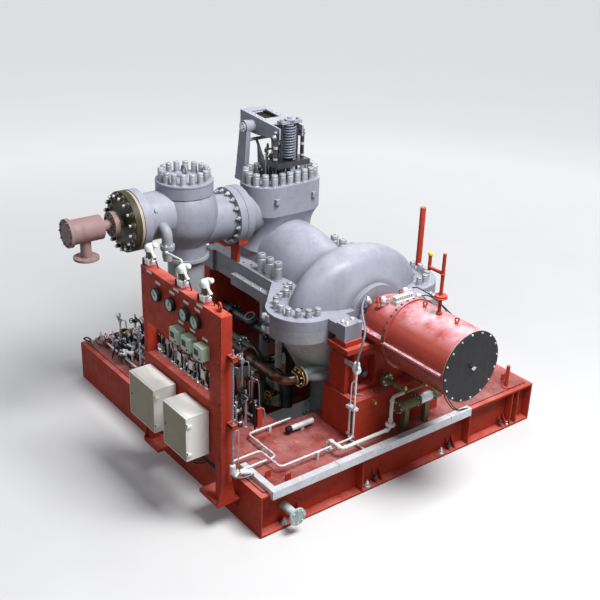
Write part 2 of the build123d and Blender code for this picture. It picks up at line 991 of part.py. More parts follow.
def supply_spool():
    """The short supply pipe and its flange pair."""
    height = inlet_flange_height
    pipe = bar((inlet_x, blank_outer_y, height), (inlet_x, vessel_back_y, height), supply_pipe_radius)
    joint_y = valve_inlet_face_y - supply_joint_reach
    for side in (-1, 1):
        start = (inlet_x, joint_y, height)
        end = (inlet_x, joint_y + side * supply_flange_thickness, height)
        pipe += bar(start, end, supply_flange_radius)
    return pipe


def supply_vessel():
    """The steam strainer on the supply line, with its cover and bottom outlet."""
    height = inlet_flange_height
    shell = bar((inlet_x, vessel_back_y, height), (inlet_x, vessel_front_y, height), vessel_radius)
    cover_end = (inlet_x, vessel_front_y - vessel_cover_thickness, height)
    shell += bar((inlet_x, vessel_front_y, height), cover_end, vessel_cover_radius)
    middle = (inlet_x, (vessel_front_y + vessel_back_y) / 2)
    bottom = height - vessel_outlet_drop
    shell += bar((*middle, bottom), (*middle, height), supply_pipe_radius)
    top = bottom + supply_flange_thickness
    flange = bar((*middle, bottom), (*middle, top), supply_flange_radius)
    for x, y in circle_places(vessel_bolt_count, vessel_bolt_circle / 2):
        centre = (middle[0] + x, middle[1] + y)
        flange -= bar((*centre, bottom), (*centre, top), vessel_hole_radius)
    return shell + flange


def valve_saddle():
    """The cradle on the casing foot arm that steadies the flange pair."""
    joint_y = chest_nozzle_face_y - flange_gasket / 2
    width = (joint_y - cradle_half_width, joint_y + cradle_half_width)
    height = outlet_flange_height
    outer = pipe_flange_radius + cradle_depth
    ends = ((inlet_x, width[0], height), (inlet_x, width[1], height))
    ring = bar(*ends, outer) - bar(*ends, pipe_flange_radius + seat_gap)
    reach = outer * sin(radians(cradle_angle))
    arc = ring & block((inlet_x - reach, inlet_x + reach), width, (height - outer, height))
    base = shaft_height + split_flange_thickness
    stem_x = (inlet_x - cradle_stem_half_width, inlet_x + cradle_stem_half_width)
    stem_top = height - outer + cradle_depth
    stem = block(stem_x, (-hp_flange_half_width, width[1]), (base, stem_top))
    return arc + (stem - bar(*ends, outer - cradle_stem_overlap))


# Governor lever gear


def lever_bracket():
    """The two tapered posts and struts that carry the lever, on a foot on the chest wall."""
    wall_x = chest_x - chest_half_width
    foot_z = (bracket_foot_height, bracket_foot_height + bracket_foot_thickness)
    outer = lever_post_y[1]
    foot = block((wall_x - post_foot_width, wall_x), (-outer, outer), foot_z)
    straight = chest_half_length - chest_half_width
    pad_z = (bracket_foot_height - bracket_pad_height, bracket_foot_height)
    foot += block((wall_x - bracket_pad_thickness, wall_x), (-straight, straight), pad_z)
    top = lever_pivot_height
    front = wall_x - post_foot_gap
    head = post_head_radius - post_foot_gap
    outline = Polyline(
        (front, foot_z[1]),
        (lever_pivot_x + head, top),
        (lever_pivot_x - head, top),
        (wall_x - post_foot_width + post_foot_gap, foot_z[1]),
        close=True,
    )
    post = Pos(0, outer, 0) * extrude(Plane.XZ * make_face(outline), outer - lever_post_y[0])
    ends = ((lever_pivot_x, lever_post_y[0], top), (lever_pivot_x, outer, top))
    post += bar(*ends, post_head_radius)
    post -= bar(*ends, lever_pin_radius + seat_gap)
    return foot + both_sides(post)


def lever_pin():
    """The fulcrum pin through both posts, with a retaining disc at each end."""
    outer = lever_post_y[1]
    height = lever_pivot_height
    pin = bar((lever_pivot_x, -outer, height), (lever_pivot_x, outer, height), lever_pin_radius)
    disc_end = (lever_pivot_x, outer + lever_pin_disc_thickness, height)
    disc = bar((lever_pivot_x, outer, height), disc_end, lever_pin_disc_radius)
    return pin + both_sides(disc)


def governor_lever():
    """The box lever: two side plates, a windowed top plate and the fulcrum tube."""
    height = lever_pivot_height
    belly = height - lever_belly_depth
    outline = Polyline(
        (lever_rear_x, height - lever_rear_depth[0]),
        (lever_rear_x, height + lever_rear_depth[1]),
        (lever_front_x, height + lever_front_depth[1]),
        (lever_front_x, height - lever_front_depth[0]),
        (lever_pivot_x + lever_belly_half_length, belly),
        (lever_pivot_x - lever_belly_half_length, belly),
        close=True,
    )
    thickness = lever_side_y[1] - lever_side_y[0]
    side = Pos(0, lever_side_y[1], 0) * extrude(Plane.XZ * make_face(outline), thickness)
    lever = both_sides(side) + lever_top_plate()
    half = lever_post_y[0] - link_clearance
    tube = ((lever_pivot_x, -half, height), (lever_pivot_x, half, height))
    lever += bar(*tube, lever_tube_radius)
    lever -= bar(*tube, lever_pin_radius + seat_gap)
    pin = ((link_pin_x, -lever_side_y[1], height), (link_pin_x, lever_side_y[1], height))
    return lever - bar(*pin, link_pin_radius + link_clearance)


def lever_top_plate():
    """The sloping top plate of the lever with its rectangular window."""
    rear_top = lever_pivot_height + lever_rear_depth[1]
    front_top = lever_pivot_height + lever_front_depth[1]
    slope = (front_top - rear_top) / (lever_front_x - lever_rear_x)
    front_z = rear_top + slope * (lever_plate_front_x - lever_rear_x)
    outline = Polyline(
        (lever_rear_x, rear_top - lever_plate_thickness),
        (lever_rear_x, rear_top),
        (lever_plate_front_x, front_z),
        (lever_plate_front_x, front_z - lever_plate_thickness),
        close=True,
    )
    width = 2 * lever_side_y[1]
    plate = Pos(0, lever_side_y[1], 0) * extrude(Plane.XZ * make_face(outline), width)
    window_y = (-lever_window_half_width, lever_window_half_width)
    return plate - block(lever_window_x, window_y, (lever_pivot_height, rear_top))


def valve_crosshead():
    """The moving crosshead: plate, spindle, two link rods and their pins."""
    z = (crosshead_height, crosshead_height + crosshead_thickness)
    plate_x = (link_pin_x - crosshead_half_width, link_pin_x + crosshead_half_width)
    plate = block(plate_x, (-crosshead_half_length, crosshead_half_length), z)
    rod_places = ((link_pin_x, tie_rod_y, z[0]), (link_pin_x, tie_rod_y, z[1]))
    plate -= both_sides(bar(*rod_places, tie_rod_radius + link_clearance))
    spindle = bar((link_pin_x, 0, chest_top + seat_gap), (link_pin_x, 0, z[0]), spindle_radius)
    rod_y = lever_side_y[1] + link_clearance
    rod_x = (link_pin_x - link_half_width, link_pin_x + link_half_width)
    rod = block(rod_x, (rod_y, rod_y + link_thickness), (z[1], lever_pivot_height + link_top_rise))
    pin_start = (link_pin_x, lever_side_y[0] - link_clearance, lever_pivot_height)
    rod += bar(pin_start, (link_pin_x, rod_y, lever_pivot_height), link_pin_radius)
    return plate + spindle + both_sides(rod)


def closing_spring():
    """The closing spring between crosshead and bridge, as its outer coil form."""
    bottom = crosshead_height + crosshead_thickness
    height = spring_top - bottom
    pitch = height / spring_turns
    points = [(0, 0)]
    for turn in range(spring_turns):
        low = turn * pitch
        points.append((spring_core_radius, low))
        points.append((spring_radius, low + pitch * 0.25))
        points.append((spring_radius, low + pitch * 0.75))
    points.append((spring_core_radius, height))
    points.append((0, height))
    outline = Plane.XZ * make_face(Polyline(*points, close=True))
    return Pos(link_pin_x, 0, bottom) * revolve(outline, Axis.Z)


def spring_bridge():
    """The fixed bridge over the spring and its two tie rods."""
    top = spring_top + bridge_thickness
    plate_x = (link_pin_x - bridge_half_width, link_pin_x + bridge_half_width)
    reach = tie_rod_y + bridge_overhang
    plate = block(plate_x, (-reach, reach), (spring_top, top))
    rod = bar((link_pin_x, tie_rod_y, chest_top), (link_pin_x, tie_rod_y, spring_top), tie_rod_radius)
    nut_end = (link_pin_x, tie_rod_y, top + tie_nut_height)
    nut = prism((link_pin_x, tie_rod_y, top), nut_end, tie_nut_radius, 6)
    return plate + both_sides(rod + nut)


# Pedestals, bearings and guard


def governor_pedestal():
    """The pedestal under the governor-end bearing and the casing foot arms."""
    half = governor_pedestal_half_width
    body = block(governor_pedestal_x, (-half, half), (deck_top, governor_pedestal_top))
    start = (governor_pedestal_x[0], 0, shaft_height)
    end = (governor_pedestal_x[1], 0, shaft_height)
    return body - bar(start, end, governor_bearing_radius + seat_gap)


def governor_bearing():
    """The governor-end bearing housing with its split flanges and end cover."""
    x = governor_bearing_x
    drum = bar((x[0], 0, shaft_height), (x[1], 0, shaft_height), governor_bearing_radius)
    wing_x = (x[0] + governor_wing_inset[0], x[1] - governor_wing_inset[1])
    wing_y = (-governor_wing_half_width, governor_wing_half_width)
    wing_z = (shaft_height - governor_wing_thickness, shaft_height + governor_wing_thickness)
    wing = block(wing_x, wing_y, wing_z)
    cover_start = (x[0] - governor_cover_thickness, 0, shaft_height)
    cover_radius = governor_bearing_radius - governor_cover_step
    return drum + wing + bar(cover_start, (x[0], 0, shaft_height), cover_radius)


def exhaust_pedestal():
    """The pedestal under the exhaust-end bearing: box, recessed body, round-topped cheeks and plate."""
    box_half = pedestal_half_width
    shape = block(pedestal_x, (-box_half, box_half), (deck_top, pedestal_box_top))
    half = pedestal_body_half_width
    body = block(pedestal_body_x, (-half, half), (pedestal_box_top, pedestal_plate_bottom))
    recess_x = (pedestal_body_x[1] - recess_depth, pedestal_body_x[1])
    recess_z = (pedestal_box_top + recess_sill, pedestal_plate_bottom - recess_head)
    recess = block(recess_x, recess_y, recess_z)
    recess = fillet(recess.edges().filter_by(Axis.X), recess_radius)
    shape += body - both_sides(recess)
    cheek_y = (-pedestal_cheek_half_width, -half)
    cheek_z = (pedestal_box_top, pedestal_plate_bottom - pedestal_cheek_drop)
    cheek = block(pedestal_cheek_x, cheek_y, cheek_z)
    upper_edges = cheek.edges().filter_by(Axis.Y).group_by(Axis.Z)[-1]
    shape += both_sides(fillet(upper_edges, pedestal_cheek_radius))
    plate_half = pedestal_plate_half_width
    plate_z = (pedestal_plate_bottom, pedestal_plate_top)
    shape += block(pedestal_plate_x, (-plate_half, plate_half), plate_z)
    pad_x = (palm_block_x[0] - palm_pad_overhang, palm_block_x[1] + palm_pad_overhang)
    shape += both_sides(block(pad_x, palm_y, (pedestal_plate_top, shaft_height - palm_drop)))
    return shape - bearing_drum(seat_gap)


def bearing_drum(growth):
    """The drum of the bearing housing with its rounded rear, all radii grown by a clearance."""
    start, end = bearing_x
    outer = (end, bearing_radius + growth)
    inner = (start, bearing_nose_radius + growth)
    curve = Spline(outer, *[(x, radius + growth) for x, radius in bearing_profile], inner)
    rest = Polyline(inner, (start, 0), (end, 0), outer)
    return Pos(0, 0, shaft_height) * revolve(Plane.XZ * make_face(curve + rest), Axis.X)


def bearing_housing():
    """The whole exhaust-end bearing housing before it is split."""
    start, end = bearing_x
    drum = bearing_drum(0)
    seam_end = end + seam_thickness
    drum += bar((end, 0, shaft_height), (seam_end, 0, shaft_height), seam_radius)
    wing_half = bearing_radius + bearing_flange_width
    wing_z = (shaft_height - bearing_flange_thickness, shaft_height + bearing_flange_thickness)
    drum += block((start + bearing_flange_inset, end), (-wing_half, wing_half), wing_z)
    angle = radians(plug_angle)
    plug_end = (plug_x, plug_reach * cos(angle), shaft_height + plug_reach * sin(angle))
    return drum + bar((plug_x, 0, shaft_height), plug_end, plug_radius)


guard_start_x = bearing_x[1] + seam_thickness


def guard():
    """The whole coupling guard before it is split."""
    shell = bar((guard_start_x, 0, shaft_height), (guard_end_x, 0, shaft_height), guard_radius)
    ring_end = guard_start_x + seam_thickness
    shell += bar((guard_start_x, 0, shaft_height), (ring_end, 0, shaft_height), seam_radius)
    half = guard_radius + guard_strip_width
    strip_z = (shaft_height - guard_strip_thickness, shaft_height + guard_strip_thickness)
    return shell + block((ring_end, guard_end_x - guard_strip_end_gap), (-half, half), strip_z)


def guard_end_cover():
    """The flat cover on the end of the guard, with a small centre fitting."""
    end = guard_end_x + end_cover_thickness
    disc = bar((guard_end_x, 0, shaft_height), (end, 0, shaft_height), end_cover_radius)
    fitting_end = (end + end_fitting_length, 0, shaft_height)
    return disc + bar((end, 0, shaft_height), fitting_end, end_fitting_radius)


def breather_pipe():
    """The vent pipe on the guard with its collar, ring flange and side branch."""
    centre = (breather_x, breather_y)
    top = shaft_height + breather_rise
    base = shaft_height + guard_radius - breather_collar_height / 2
    pipe = bar((*centre, base), (*centre, top), breather_radius)
    pipe += bar((*centre, base), (*centre, base + breather_collar_height), breather_collar_radius)
    ring = shaft_height + breather_ring_rise
    pipe += bar((*centre, ring), (*centre, ring + breather_ring_thickness), breather_ring_radius)
    tee = shaft_height + breather_tee_rise
    branch = (breather_x - breather_branch_reach, breather_y)
    pipe += bar((*branch, tee), (*centre, tee), breather_radius)
    branch_low = (*branch, tee - breather_branch_down)
    pipe += bar(branch_low, (*branch, tee + breather_branch_up), breather_radius)
    return pipe - bar((guard_start_x, 0, shaft_height), (guard_end_x, 0, shaft_height), guard_radius)


def far_vent_pipe():
    """The tall pipe that stands on the deck beyond the hood."""
    centre = (far_vent_x, far_vent_y)
    pipe = bar((*centre, deck_top), (*centre, deck_top + far_vent_height), far_vent_radius)
    foot_top = deck_top + far_vent_foot_thickness
    return pipe + bar((*centre, deck_top), (*centre, foot_top), far_vent_foot_radius)


# Leak-off branch


def leak_off_stub():
    """The flanged branch on the near side of the exhaust casing."""
    start = (leak_x, -exhaust_waist_half_length + exhaust_pipe_radius, leak_height)
    face = (leak_x, leak_face_y, leak_height)
    back = (leak_x, leak_face_y + leak_flange_thickness, leak_height)
    return bar(start, back, leak_pipe_radius + leak_stub_wall) + bar(back, face, leak_flange_radius)


def leak_off_pipe():
    """The elbow and pipe that lead from the branch to the rear, flanged at both ends."""
    face = (leak_x, leak_face_y, leak_height)
    front = (leak_x, leak_face_y - leak_flange_thickness, leak_height)
    corner = (leak_x, leak_run_y, leak_height)
    end = (leak_end_x, leak_run_y, leak_height)
    pipe = bent_pipe([face, corner, end], leak_pipe_radius, leak_bend_radius)
    pipe += bar(face, front, leak_flange_radius)
    end_back = (leak_end_x - leak_flange_thickness, leak_run_y, leak_height)
    return pipe + bar(end, end_back, leak_flange_radius)


# Oil pipes and conduits


def oil_drain_pipe():
    """The white oil pipe: deck flange, low run, valve disc and the top elbow."""
    run = deck_top + oil_run_rise
    top = deck_top + oil_top_rise
    start = (*oil_start, deck_top)
    points = [
        start,
        (*oil_start, run),
        (oil_corner_x, oil_start[1], run),
        (oil_corner_x, oil_riser_y, run),
        (oil_corner_x, oil_riser_y, top),
        (oil_corner_x, oil_join_y, top),
    ]
    pipe = bent_pipe(points, oil_pipe_radius, oil_bend_radius)
    pipe += bar(start, (*oil_start, deck_top + oil_foot_thickness), oil_foot_radius)
    riser = (oil_corner_x, oil_riser_y)
    disc = deck_top + oil_valve_rise
    pipe += bar((*riser, disc), (*riser, disc + oil_valve_thickness), oil_valve_radius)
    return pipe - return_elbow()


return_height = deck_top + oil_top_rise
return_start_y = oil_join_y + return_pipe_radius


def return_elbow():
    """The thick oil pipe that bends down from the pedestal to the white pipe's end."""
    high = return_height + return_pipe_rise
    points = [(x, return_pipe_y, high) for x in (pedestal_body_x[1], return_bend_x)]
    points.append((oil_corner_x, return_start_y, return_height))
    return bent_pipe(points, return_pipe_radius, return_bend_radius)


def oil_return_pipe():
    """The oil pipes from the pedestal: a flanged elbow and the smaller loop that joins it."""
    high = return_height + return_pipe_rise
    flange_start = (return_flange_x, return_pipe_y, high)
    flange_end = (return_flange_x + return_flange_thickness, return_pipe_y, high)
    pipe = return_elbow() + bar(flange_start, flange_end, return_flange_radius)
    points = [
        (oil_corner_x, return_start_y, return_height),
        (oil_corner_x, return_branch_y, return_height),
        (pedestal_body_x[1], return_branch_y, return_height),
    ]
    return pipe + bent_pipe(points, return_branch_radius, oil_bend_radius)


def oil_strainer():
    """The horizontal oil strainer on two feet on the deck."""
    height = deck_top + strainer_height
    ends = [(strainer_x, y, height) for y in strainer_y]
    shell = bar(*ends, strainer_radius)
    for y in (strainer_y[0], *strainer_band_y):
        band_end = (strainer_x, y + 2 * strainer_band, height)
        shell += bar((strainer_x, y, height), band_end, strainer_radius + strainer_band)
    half = strainer_foot_size / 2
    for y in strainer_foot_y:
        foot_x = (strainer_x - half, strainer_x + half)
        shell += block(foot_x, (y - half, y + half), (deck_top, height - strainer_radius / 2))
    return shell


def deck_conduits():
    """Conduits clipped above the deck, and the cylindrical instrument beside the opening."""
    low = deck_top + conduit_rise
    main_points = [
        (conduit_x[0], conduit_y[0], low),
        (conduit_x[0], conduit_y[1], low),
        (conduit_x[1], conduit_y[1], low),
        (conduit_x[1], conduit_y[2], low),
    ]
    main = bent_pipe(main_points, conduit_radius, conduit_bend)
    main += clip_post(conduit_x[0], sum(conduit_y[:2]) / 2, low)
    main += clip_post(sum(conduit_x) / 2, conduit_y[1], low)
    high = deck_top + conduit_cross_rise
    cross_top = (cross_conduit_x[1], cross_conduit_y[2], deck_top + cross_conduit_top)
    cross_points = [
        (cross_conduit_x[0], cross_conduit_y[0], high),
        (cross_conduit_x[0], cross_conduit_y[1], high),
        (cross_conduit_x[1], cross_conduit_y[1], high),
        (cross_conduit_x[1], cross_conduit_y[2], high),
        cross_top,
    ]
    cross = bent_pipe(cross_points, conduit_radius, conduit_bend)
    cross += clip_post(cross_conduit_x[1], sum(cross_conduit_y[1:]) / 2, high)
    return Compound(children=[main, cross + short_conduit(), probe()])


def clip_post(x, y, height):
    """A small post from the deck up to a conduit."""
    half = clip_size / 2
    return block((x - half, x + half), (y - half, y + half), (deck_top, height))


def short_conduit():
    """The conduit from the tray up the pedestal's corner, with the clip that holds the pair."""
    y = -pedestal_half_width - short_conduit_gap
    low = deck_top + short_conduit_rise
    tray_x = skid_length / 2 - tray_lap
    points = [(short_conduit_x, y, deck_top + short_conduit_top), (short_conduit_x, y, low), (tray_x, y, low)]
    pipe = bent_pipe(points, conduit_radius, conduit_bend)
    clip_x = (short_conduit_x - clip_size, cross_conduit_x[1] + clip_size / 2)
    clip_z = (deck_top + clip_rise - clip_size, deck_top + clip_rise)
    clip = block(clip_x, (cross_conduit_y[2] - clip_size / 2, -pedestal_half_width), clip_z)
    return pipe + clip


def probe():
    """The cylindrical instrument on a foot beside the deck opening."""
    height = deck_top + probe_rise
    body = bar((probe_x, probe_y[0], height), (probe_x, probe_y[1], height), probe_radius)
    middle = sum(probe_y) / 2
    half = probe_foot_width / 2
    return body + block((probe_x - half, probe_x + half), (middle - half, middle + half), (deck_top, height))


# Gauge panel


def panel_column(left, width, inward):
    """One upright of the panel with its skirted foot and the bracket off the skid."""
    right = left + width
    back_y = panel_face_y + column_width
    depth = (panel_face_y + board_thickness, back_y)
    post = block((left, right), depth, (column_bottom, panel_top - board_thickness))
    spread = foot_plate_overhang
    foot_z = (column_bottom - foot_plate_thickness, column_bottom)
    foot_y = (depth[0] - spread, back_y + spread)
    if inward < 0:
        foot_x = (left - foot_plate_reach, right)
        skirt_x = (right - foot_skirt_thickness, right)
    else:
        foot_x = (left, right + foot_plate_reach)
        skirt_x = (left, left + foot_skirt_thickness)
    foot = block(foot_x, foot_y, foot_z)
    skirt_outline = Polyline(
        (foot_y[0], column_bottom),
        (foot_y[1], column_bottom),
        (depth[1], column_bottom + foot_skirt_height),
        (depth[0], column_bottom + foot_skirt_height),
        close=True,
    )
    skirt = Pos(skirt_x[0], 0, 0) * extrude(Plane.YZ * make_face(skirt_outline), foot_skirt_thickness)
    bracket_z = (foot_z[0] - bracket_thickness, foot_z[0])
    bracket = block(foot_x, (foot_y[0], -skid_width / 2), bracket_z)
    gusset_outline = Polyline(
        (-skid_width / 2, bracket_z[0] - gusset_depth),
        (-skid_width / 2, bracket_z[0]),
        (back_y, bracket_z[0]),
        close=True,
    )
    gusset = extrude(Plane.YZ * make_face(gusset_outline), gusset_half_thickness, both=True)
    return post + foot + skirt + bracket + Pos((left + right) / 2, 0, 0) * gusset


def gauge_board():
    """The folded plate that carries the gauges, with the band down its right side."""
    face = (panel_face_y, panel_face_y + board_thickness)
    plate = block((panel_left_x, panel_right_x), face, (gauge_board_bottom, panel_top))
    plate += block((side_band_x, panel_right_x), face, (side_band_bottom, gauge_board_bottom))
    lip = (panel_face_y, panel_face_y + column_width)
    return plate + block((panel_left_x, panel_right_x), lip, (panel_top - board_thickness, panel_top))


def lower_board():
    """The lower folded plate that carries the junction boxes."""
    face = (panel_face_y, panel_face_y + board_thickness)
    plate = block((panel_left_x, panel_right_x), face, (lower_board_bottom, lower_board_top))
    plate -= block((side_band_x, panel_right_x), face, (side_band_bottom, lower_board_top))
    lip = (panel_face_y, panel_face_y + lip_depth)
    lip_z = (lower_board_top - board_thickness, lower_board_top)
    return plate + block((panel_left_x + left_column_width, side_band_x), lip, lip_z)


def pressure_gauges():
    """The dial gauges on the board."""
    height = panel_top - gauge_drop
    group = []
    for x in gauge_x:
        face = (x, panel_face_y - gauge_depth, height)
        group.append(bar((x, panel_face_y, height), face, gauge_radius))
    return Compound(children=group)


def signal_boxes():
    """The square instrument boxes below the gauges."""
    half = signal_box_size / 2
    middle = panel_top - signal_box_drop
    depth = (panel_face_y - signal_box_depth, panel_face_y)
    group = []
    for x in signal_box_x:
        box = block((x - half, x + half), depth, (middle - half, middle + half))
        group.append(fillet(box.edges().filter_by(Axis.Y), signal_box_corner))
    return Compound(children=group)


def pressure_switches():
    """The pressure switch heads behind the top of the panel."""
    low = panel_top + seat_gap
    y = panel_face_y + column_width - switch_radius
    group = []
    for x in switch_x:
        group.append(bar((x, y, low), (x, y, low + switch_height), switch_radius))
    return Compound(children=group)


# Junction boxes

box_base = lower_board_bottom + box_base_gap
box_back_y = panel_face_y - box_back_gap
box_front_y = box_back_y - box_depth
hinge_y = box_front_y - door_gap - door_thickness / 2


def hinge_levels(height):
    """The heights of the two hinges of a box."""
    return (height[0] + hinge_inset, height[1] - hinge_inset)


def junction_box(edges, height):
    """An open-fronted steel box on two spacers, with the fixed hinge knuckles and pins."""
    shell = block(edges, (box_front_y, box_back_y), height)
    inner_x = (edges[0] + box_wall, edges[1] - box_wall)
    inner_z = (height[0] + box_wall, height[1] - box_wall)
    shell -= block(inner_x, (box_front_y, box_back_y - box_wall), inner_z)
    middle = (edges[0] + edges[1]) / 2
    spacer_x = (middle - box_spacer_half_length, middle + box_spacer_half_length)
    half = box_spacer_half_height
    for z in (height[0] + box_spacer_inset, height[1] - box_spacer_inset):
        shell += block(spacer_x, (box_back_y, panel_face_y), (z - half, z + half))
    hinge_x = edges[1] + hinge_offset
    web_x = (hinge_x - hinge_web / 2, hinge_x + hinge_web / 2)
    base_y = (box_front_y + hinge_base_depth[0], box_front_y + hinge_base_depth[1])
    for z in hinge_levels(height):
        low = z - hinge_knuckle_length
        base = block((edges[1], web_x[1]), base_y, (low, z))
        web = block(web_x, (hinge_y, base_y[0]), (low, z))
        knuckle = bar((hinge_x, hinge_y, low), (hinge_x, hinge_y, z), hinge_knuckle_radius)
        pin_top = (hinge_x, hinge_y, z + hinge_knuckle_length)
        shell += base + web + knuckle + bar((hinge_x, hinge_y, low), pin_top, hinge_pin_radius)
    return shell


def door(edges, height):
    """The box door with its hinge knuckles over the fixed pins."""
    front = box_front_y - door_gap - door_thickness
    leaf = block(edges, (front, box_front_y - door_gap), height)
    hinge_x = edges[1] + hinge_offset
    arm_y = (hinge_y - hinge_web / 2, hinge_y + hinge_web / 2)
    for z in hinge_levels(height):
        low = z + seat_gap
        high = low + hinge_knuckle_length
        leaf += block((edges[1], hinge_x), arm_y, (low, high))
        ends = ((hinge_x, hinge_y, low), (hinge_x, hinge_y, high))
        leaf += bar(*ends, hinge_knuckle_radius)
        leaf -= bar(*ends, hinge_pin_radius + seat_gap)
    return leaf


outlet_nut_y = chest_nozzle_face_y - flange_gasket - pipe_flange_thickness
right_column_x = panel_right_x - column_width

pieces = {
    "base_side_beam_near": side_beam(),
    "base_side_beam_far": mirrored(side_beam()),
    "base_end_beam_drive": end_beam(1),
    "base_end_beam_governor": end_beam(-1),
    "deck_plate": deck_plate(),
    "cable_tray": cable_tray(),
    "drain_stub": drain_stub(),
    "casing_upper": casing_upper(),
    "casing_lower": casing_lower(),
    "casing_nuts_near": casing_nuts(-1),
    "casing_nuts_far": casing_nuts(1),
    "steam_chest_cover": chest_plate(chest_cover_rim + seat_gap),
    "steam_chest_nuts": chest_nuts(),
    "stop_valve_body": stop_valve_body(),
    "stop_valve_cover": stop_valve_cover(),
    "stop_valve_nuts": stop_valve_nuts(),
    "stop_valve_actuator": stop_valve_actuator(),
    "stop_valve_drain": stop_valve_drain(),
    "outlet_flange_nuts": Compound(children=flange_nuts(inlet_x, outlet_nut_y, outlet_flange_height)),
    "inlet_spacer_ring": inlet_spacer(),
    "inlet_blank_flange": inlet_blank(),
    "supply_spool": supply_spool(),
    "supply_strainer": supply_vessel(),
    "valve_saddle": valve_saddle(),
    "lever_bracket": lever_bracket(),
    "lever_pin": lever_pin(),
    "governor_lever": governor_lever(),
    "valve_crosshead": valve_crosshead(),
    "closing_spring": closing_spring(),
    "spring_bridge": spring_bridge(),
    "governor_pedestal": governor_pedestal(),
    "governor_bearing_housing": governor_bearing(),
    "exhaust_pedestal": exhaust_pedestal(),
    "bearing_housing_lower": lower_half(bearing_housing()),
    "bearing_housing_upper": upper_half(bearing_housing()),
    "coupling_guard_lower": lower_half(guard()),
    "coupling_guard_upper": upper_half(guard()),
    "guard_end_cover": guard_end_cover(),
    "breather_pipe": breather_pipe(),
    "far_vent_pipe": far_vent_pipe(),
    "leak_off_pipe": leak_off_pipe(),
    "oil_drain_pipe": oil_drain_pipe(),
    "oil_return_pipe": oil_return_pipe(),
    "oil_strainer": oil_strainer(),
    "deck_conduits": deck_conduits(),
    "panel_column_left": panel_column(panel_left_x, left_column_width, 1),
    "panel_column_right": panel_column(right_column_x, column_width, -1),
    "gauge_board": gauge_board(),
    "panel_lower_board": lower_board(),
    "pressure_gauges": pressure_gauges(),
    "signal_boxes": signal_boxes(),
    "pressure_switches": pressure_switches(),
}
for number, x in enumerate(cross_beam_x, 1):
    pieces[f"base_cross_beam_{number}"] = cross_member(x, cross_beam_width, ())
for number, (edges, height) in enumerate(zip(box_edges_x, box_heights), 1):
    levels = (box_base, box_base + height)
    pieces[f"junction_box_{number}"] = junction_box(edges, levels)
    pieces[f"junction_box_{number}_door"] = door(edges, levels)

os.makedirs("parts", exist_ok=True)
for name, shape in pieces.items():
    export_step(shape, f"parts/{name}.step")
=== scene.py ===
from math import cos, pi, radians, sin

import bmesh
import bpy
from mathutils import Matrix, Vector
from mathutils.bvhtree import BVHTree
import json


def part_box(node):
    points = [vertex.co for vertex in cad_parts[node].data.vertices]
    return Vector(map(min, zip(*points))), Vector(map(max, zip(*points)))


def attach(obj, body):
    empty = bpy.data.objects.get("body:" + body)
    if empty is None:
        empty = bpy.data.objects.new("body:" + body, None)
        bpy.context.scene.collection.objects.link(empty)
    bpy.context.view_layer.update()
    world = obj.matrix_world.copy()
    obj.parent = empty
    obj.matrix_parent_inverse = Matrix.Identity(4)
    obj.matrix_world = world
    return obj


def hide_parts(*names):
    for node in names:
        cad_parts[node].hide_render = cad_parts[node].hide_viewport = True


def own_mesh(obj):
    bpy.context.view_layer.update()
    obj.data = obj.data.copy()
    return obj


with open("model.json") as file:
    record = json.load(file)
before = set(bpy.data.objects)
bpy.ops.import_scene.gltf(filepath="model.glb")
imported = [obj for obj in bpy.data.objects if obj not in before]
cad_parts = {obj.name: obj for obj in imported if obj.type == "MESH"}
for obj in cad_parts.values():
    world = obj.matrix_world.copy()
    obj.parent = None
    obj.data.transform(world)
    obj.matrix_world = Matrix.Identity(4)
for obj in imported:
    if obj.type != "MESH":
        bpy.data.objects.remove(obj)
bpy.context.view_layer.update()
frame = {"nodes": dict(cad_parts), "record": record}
scene = bpy.context.scene
nodes = frame["nodes"]

# Directions of the machine: the gauge panel is on the near side, the coupling at the drive end

UP, DOWN = Vector((0, 0, 1)), Vector((0, 0, -1))
NEAR, FAR = Vector((0, -1, 0)), Vector((0, 1, 0))
DRIVE, GOVERNOR = Vector((1, 0, 0)), Vector((-1, 0, 0))
SIDES = (-1, 1)

# Places that several pieces share, in metres

shaft = 1.65
deck = 0.498
board = -2.2
lower_board = -2.13
inlet_x, inlet_z = -0.55, 2.54
chest_top = 2.69
lever_x, lever_z = -0.85, 3.25
link_x = -0.37
bracket_foot = 2.436
transmitter = Vector((1.70, -0.625, 1.30))

# The smallest radius of a turned form, in metres

thinnest = 0.0002


# Camera at the photograph's place and angle

eye = Vector((8.178, -6.476, 6.2))
ahead = Vector((-0.7125, 0.5595, -0.4235)).normalized()
right = ahead.cross(Vector((-0.3548, 0.2335, 0.9053))).normalized()
up = right.cross(ahead)
picture_depth = 975.04
picture_middle = 300


def photo_camera():
    """The camera, with the lens that gives the photograph's field of view."""
    data = bpy.data.cameras.new("camera")
    data.sensor_width = 36
    data.lens = 36 * picture_depth / (2 * picture_middle)
    data.clip_end = 300
    camera = bpy.data.objects.new("camera", data)
    camera.matrix_world = Matrix.Translation(eye) @ Matrix((right, up, -ahead)).transposed().to_4x4()
    scene.collection.objects.link(camera)
    scene.camera = camera


# Colours and material trees


def srgb(red, green, blue):
    """A colour as it looks on a screen, turned into the linear one that a shader takes."""
    linear = [
        value / 12.92 if value <= 0.04045 else ((value + 0.055) / 1.055) ** 2.4
        for value in (red, green, blue)
    ]
    return (*linear, 1)


def shade(colour, factor):
    """The same colour, lighter or darker."""
    return (*[min(1, part * factor) for part in colour[:3]], 1)


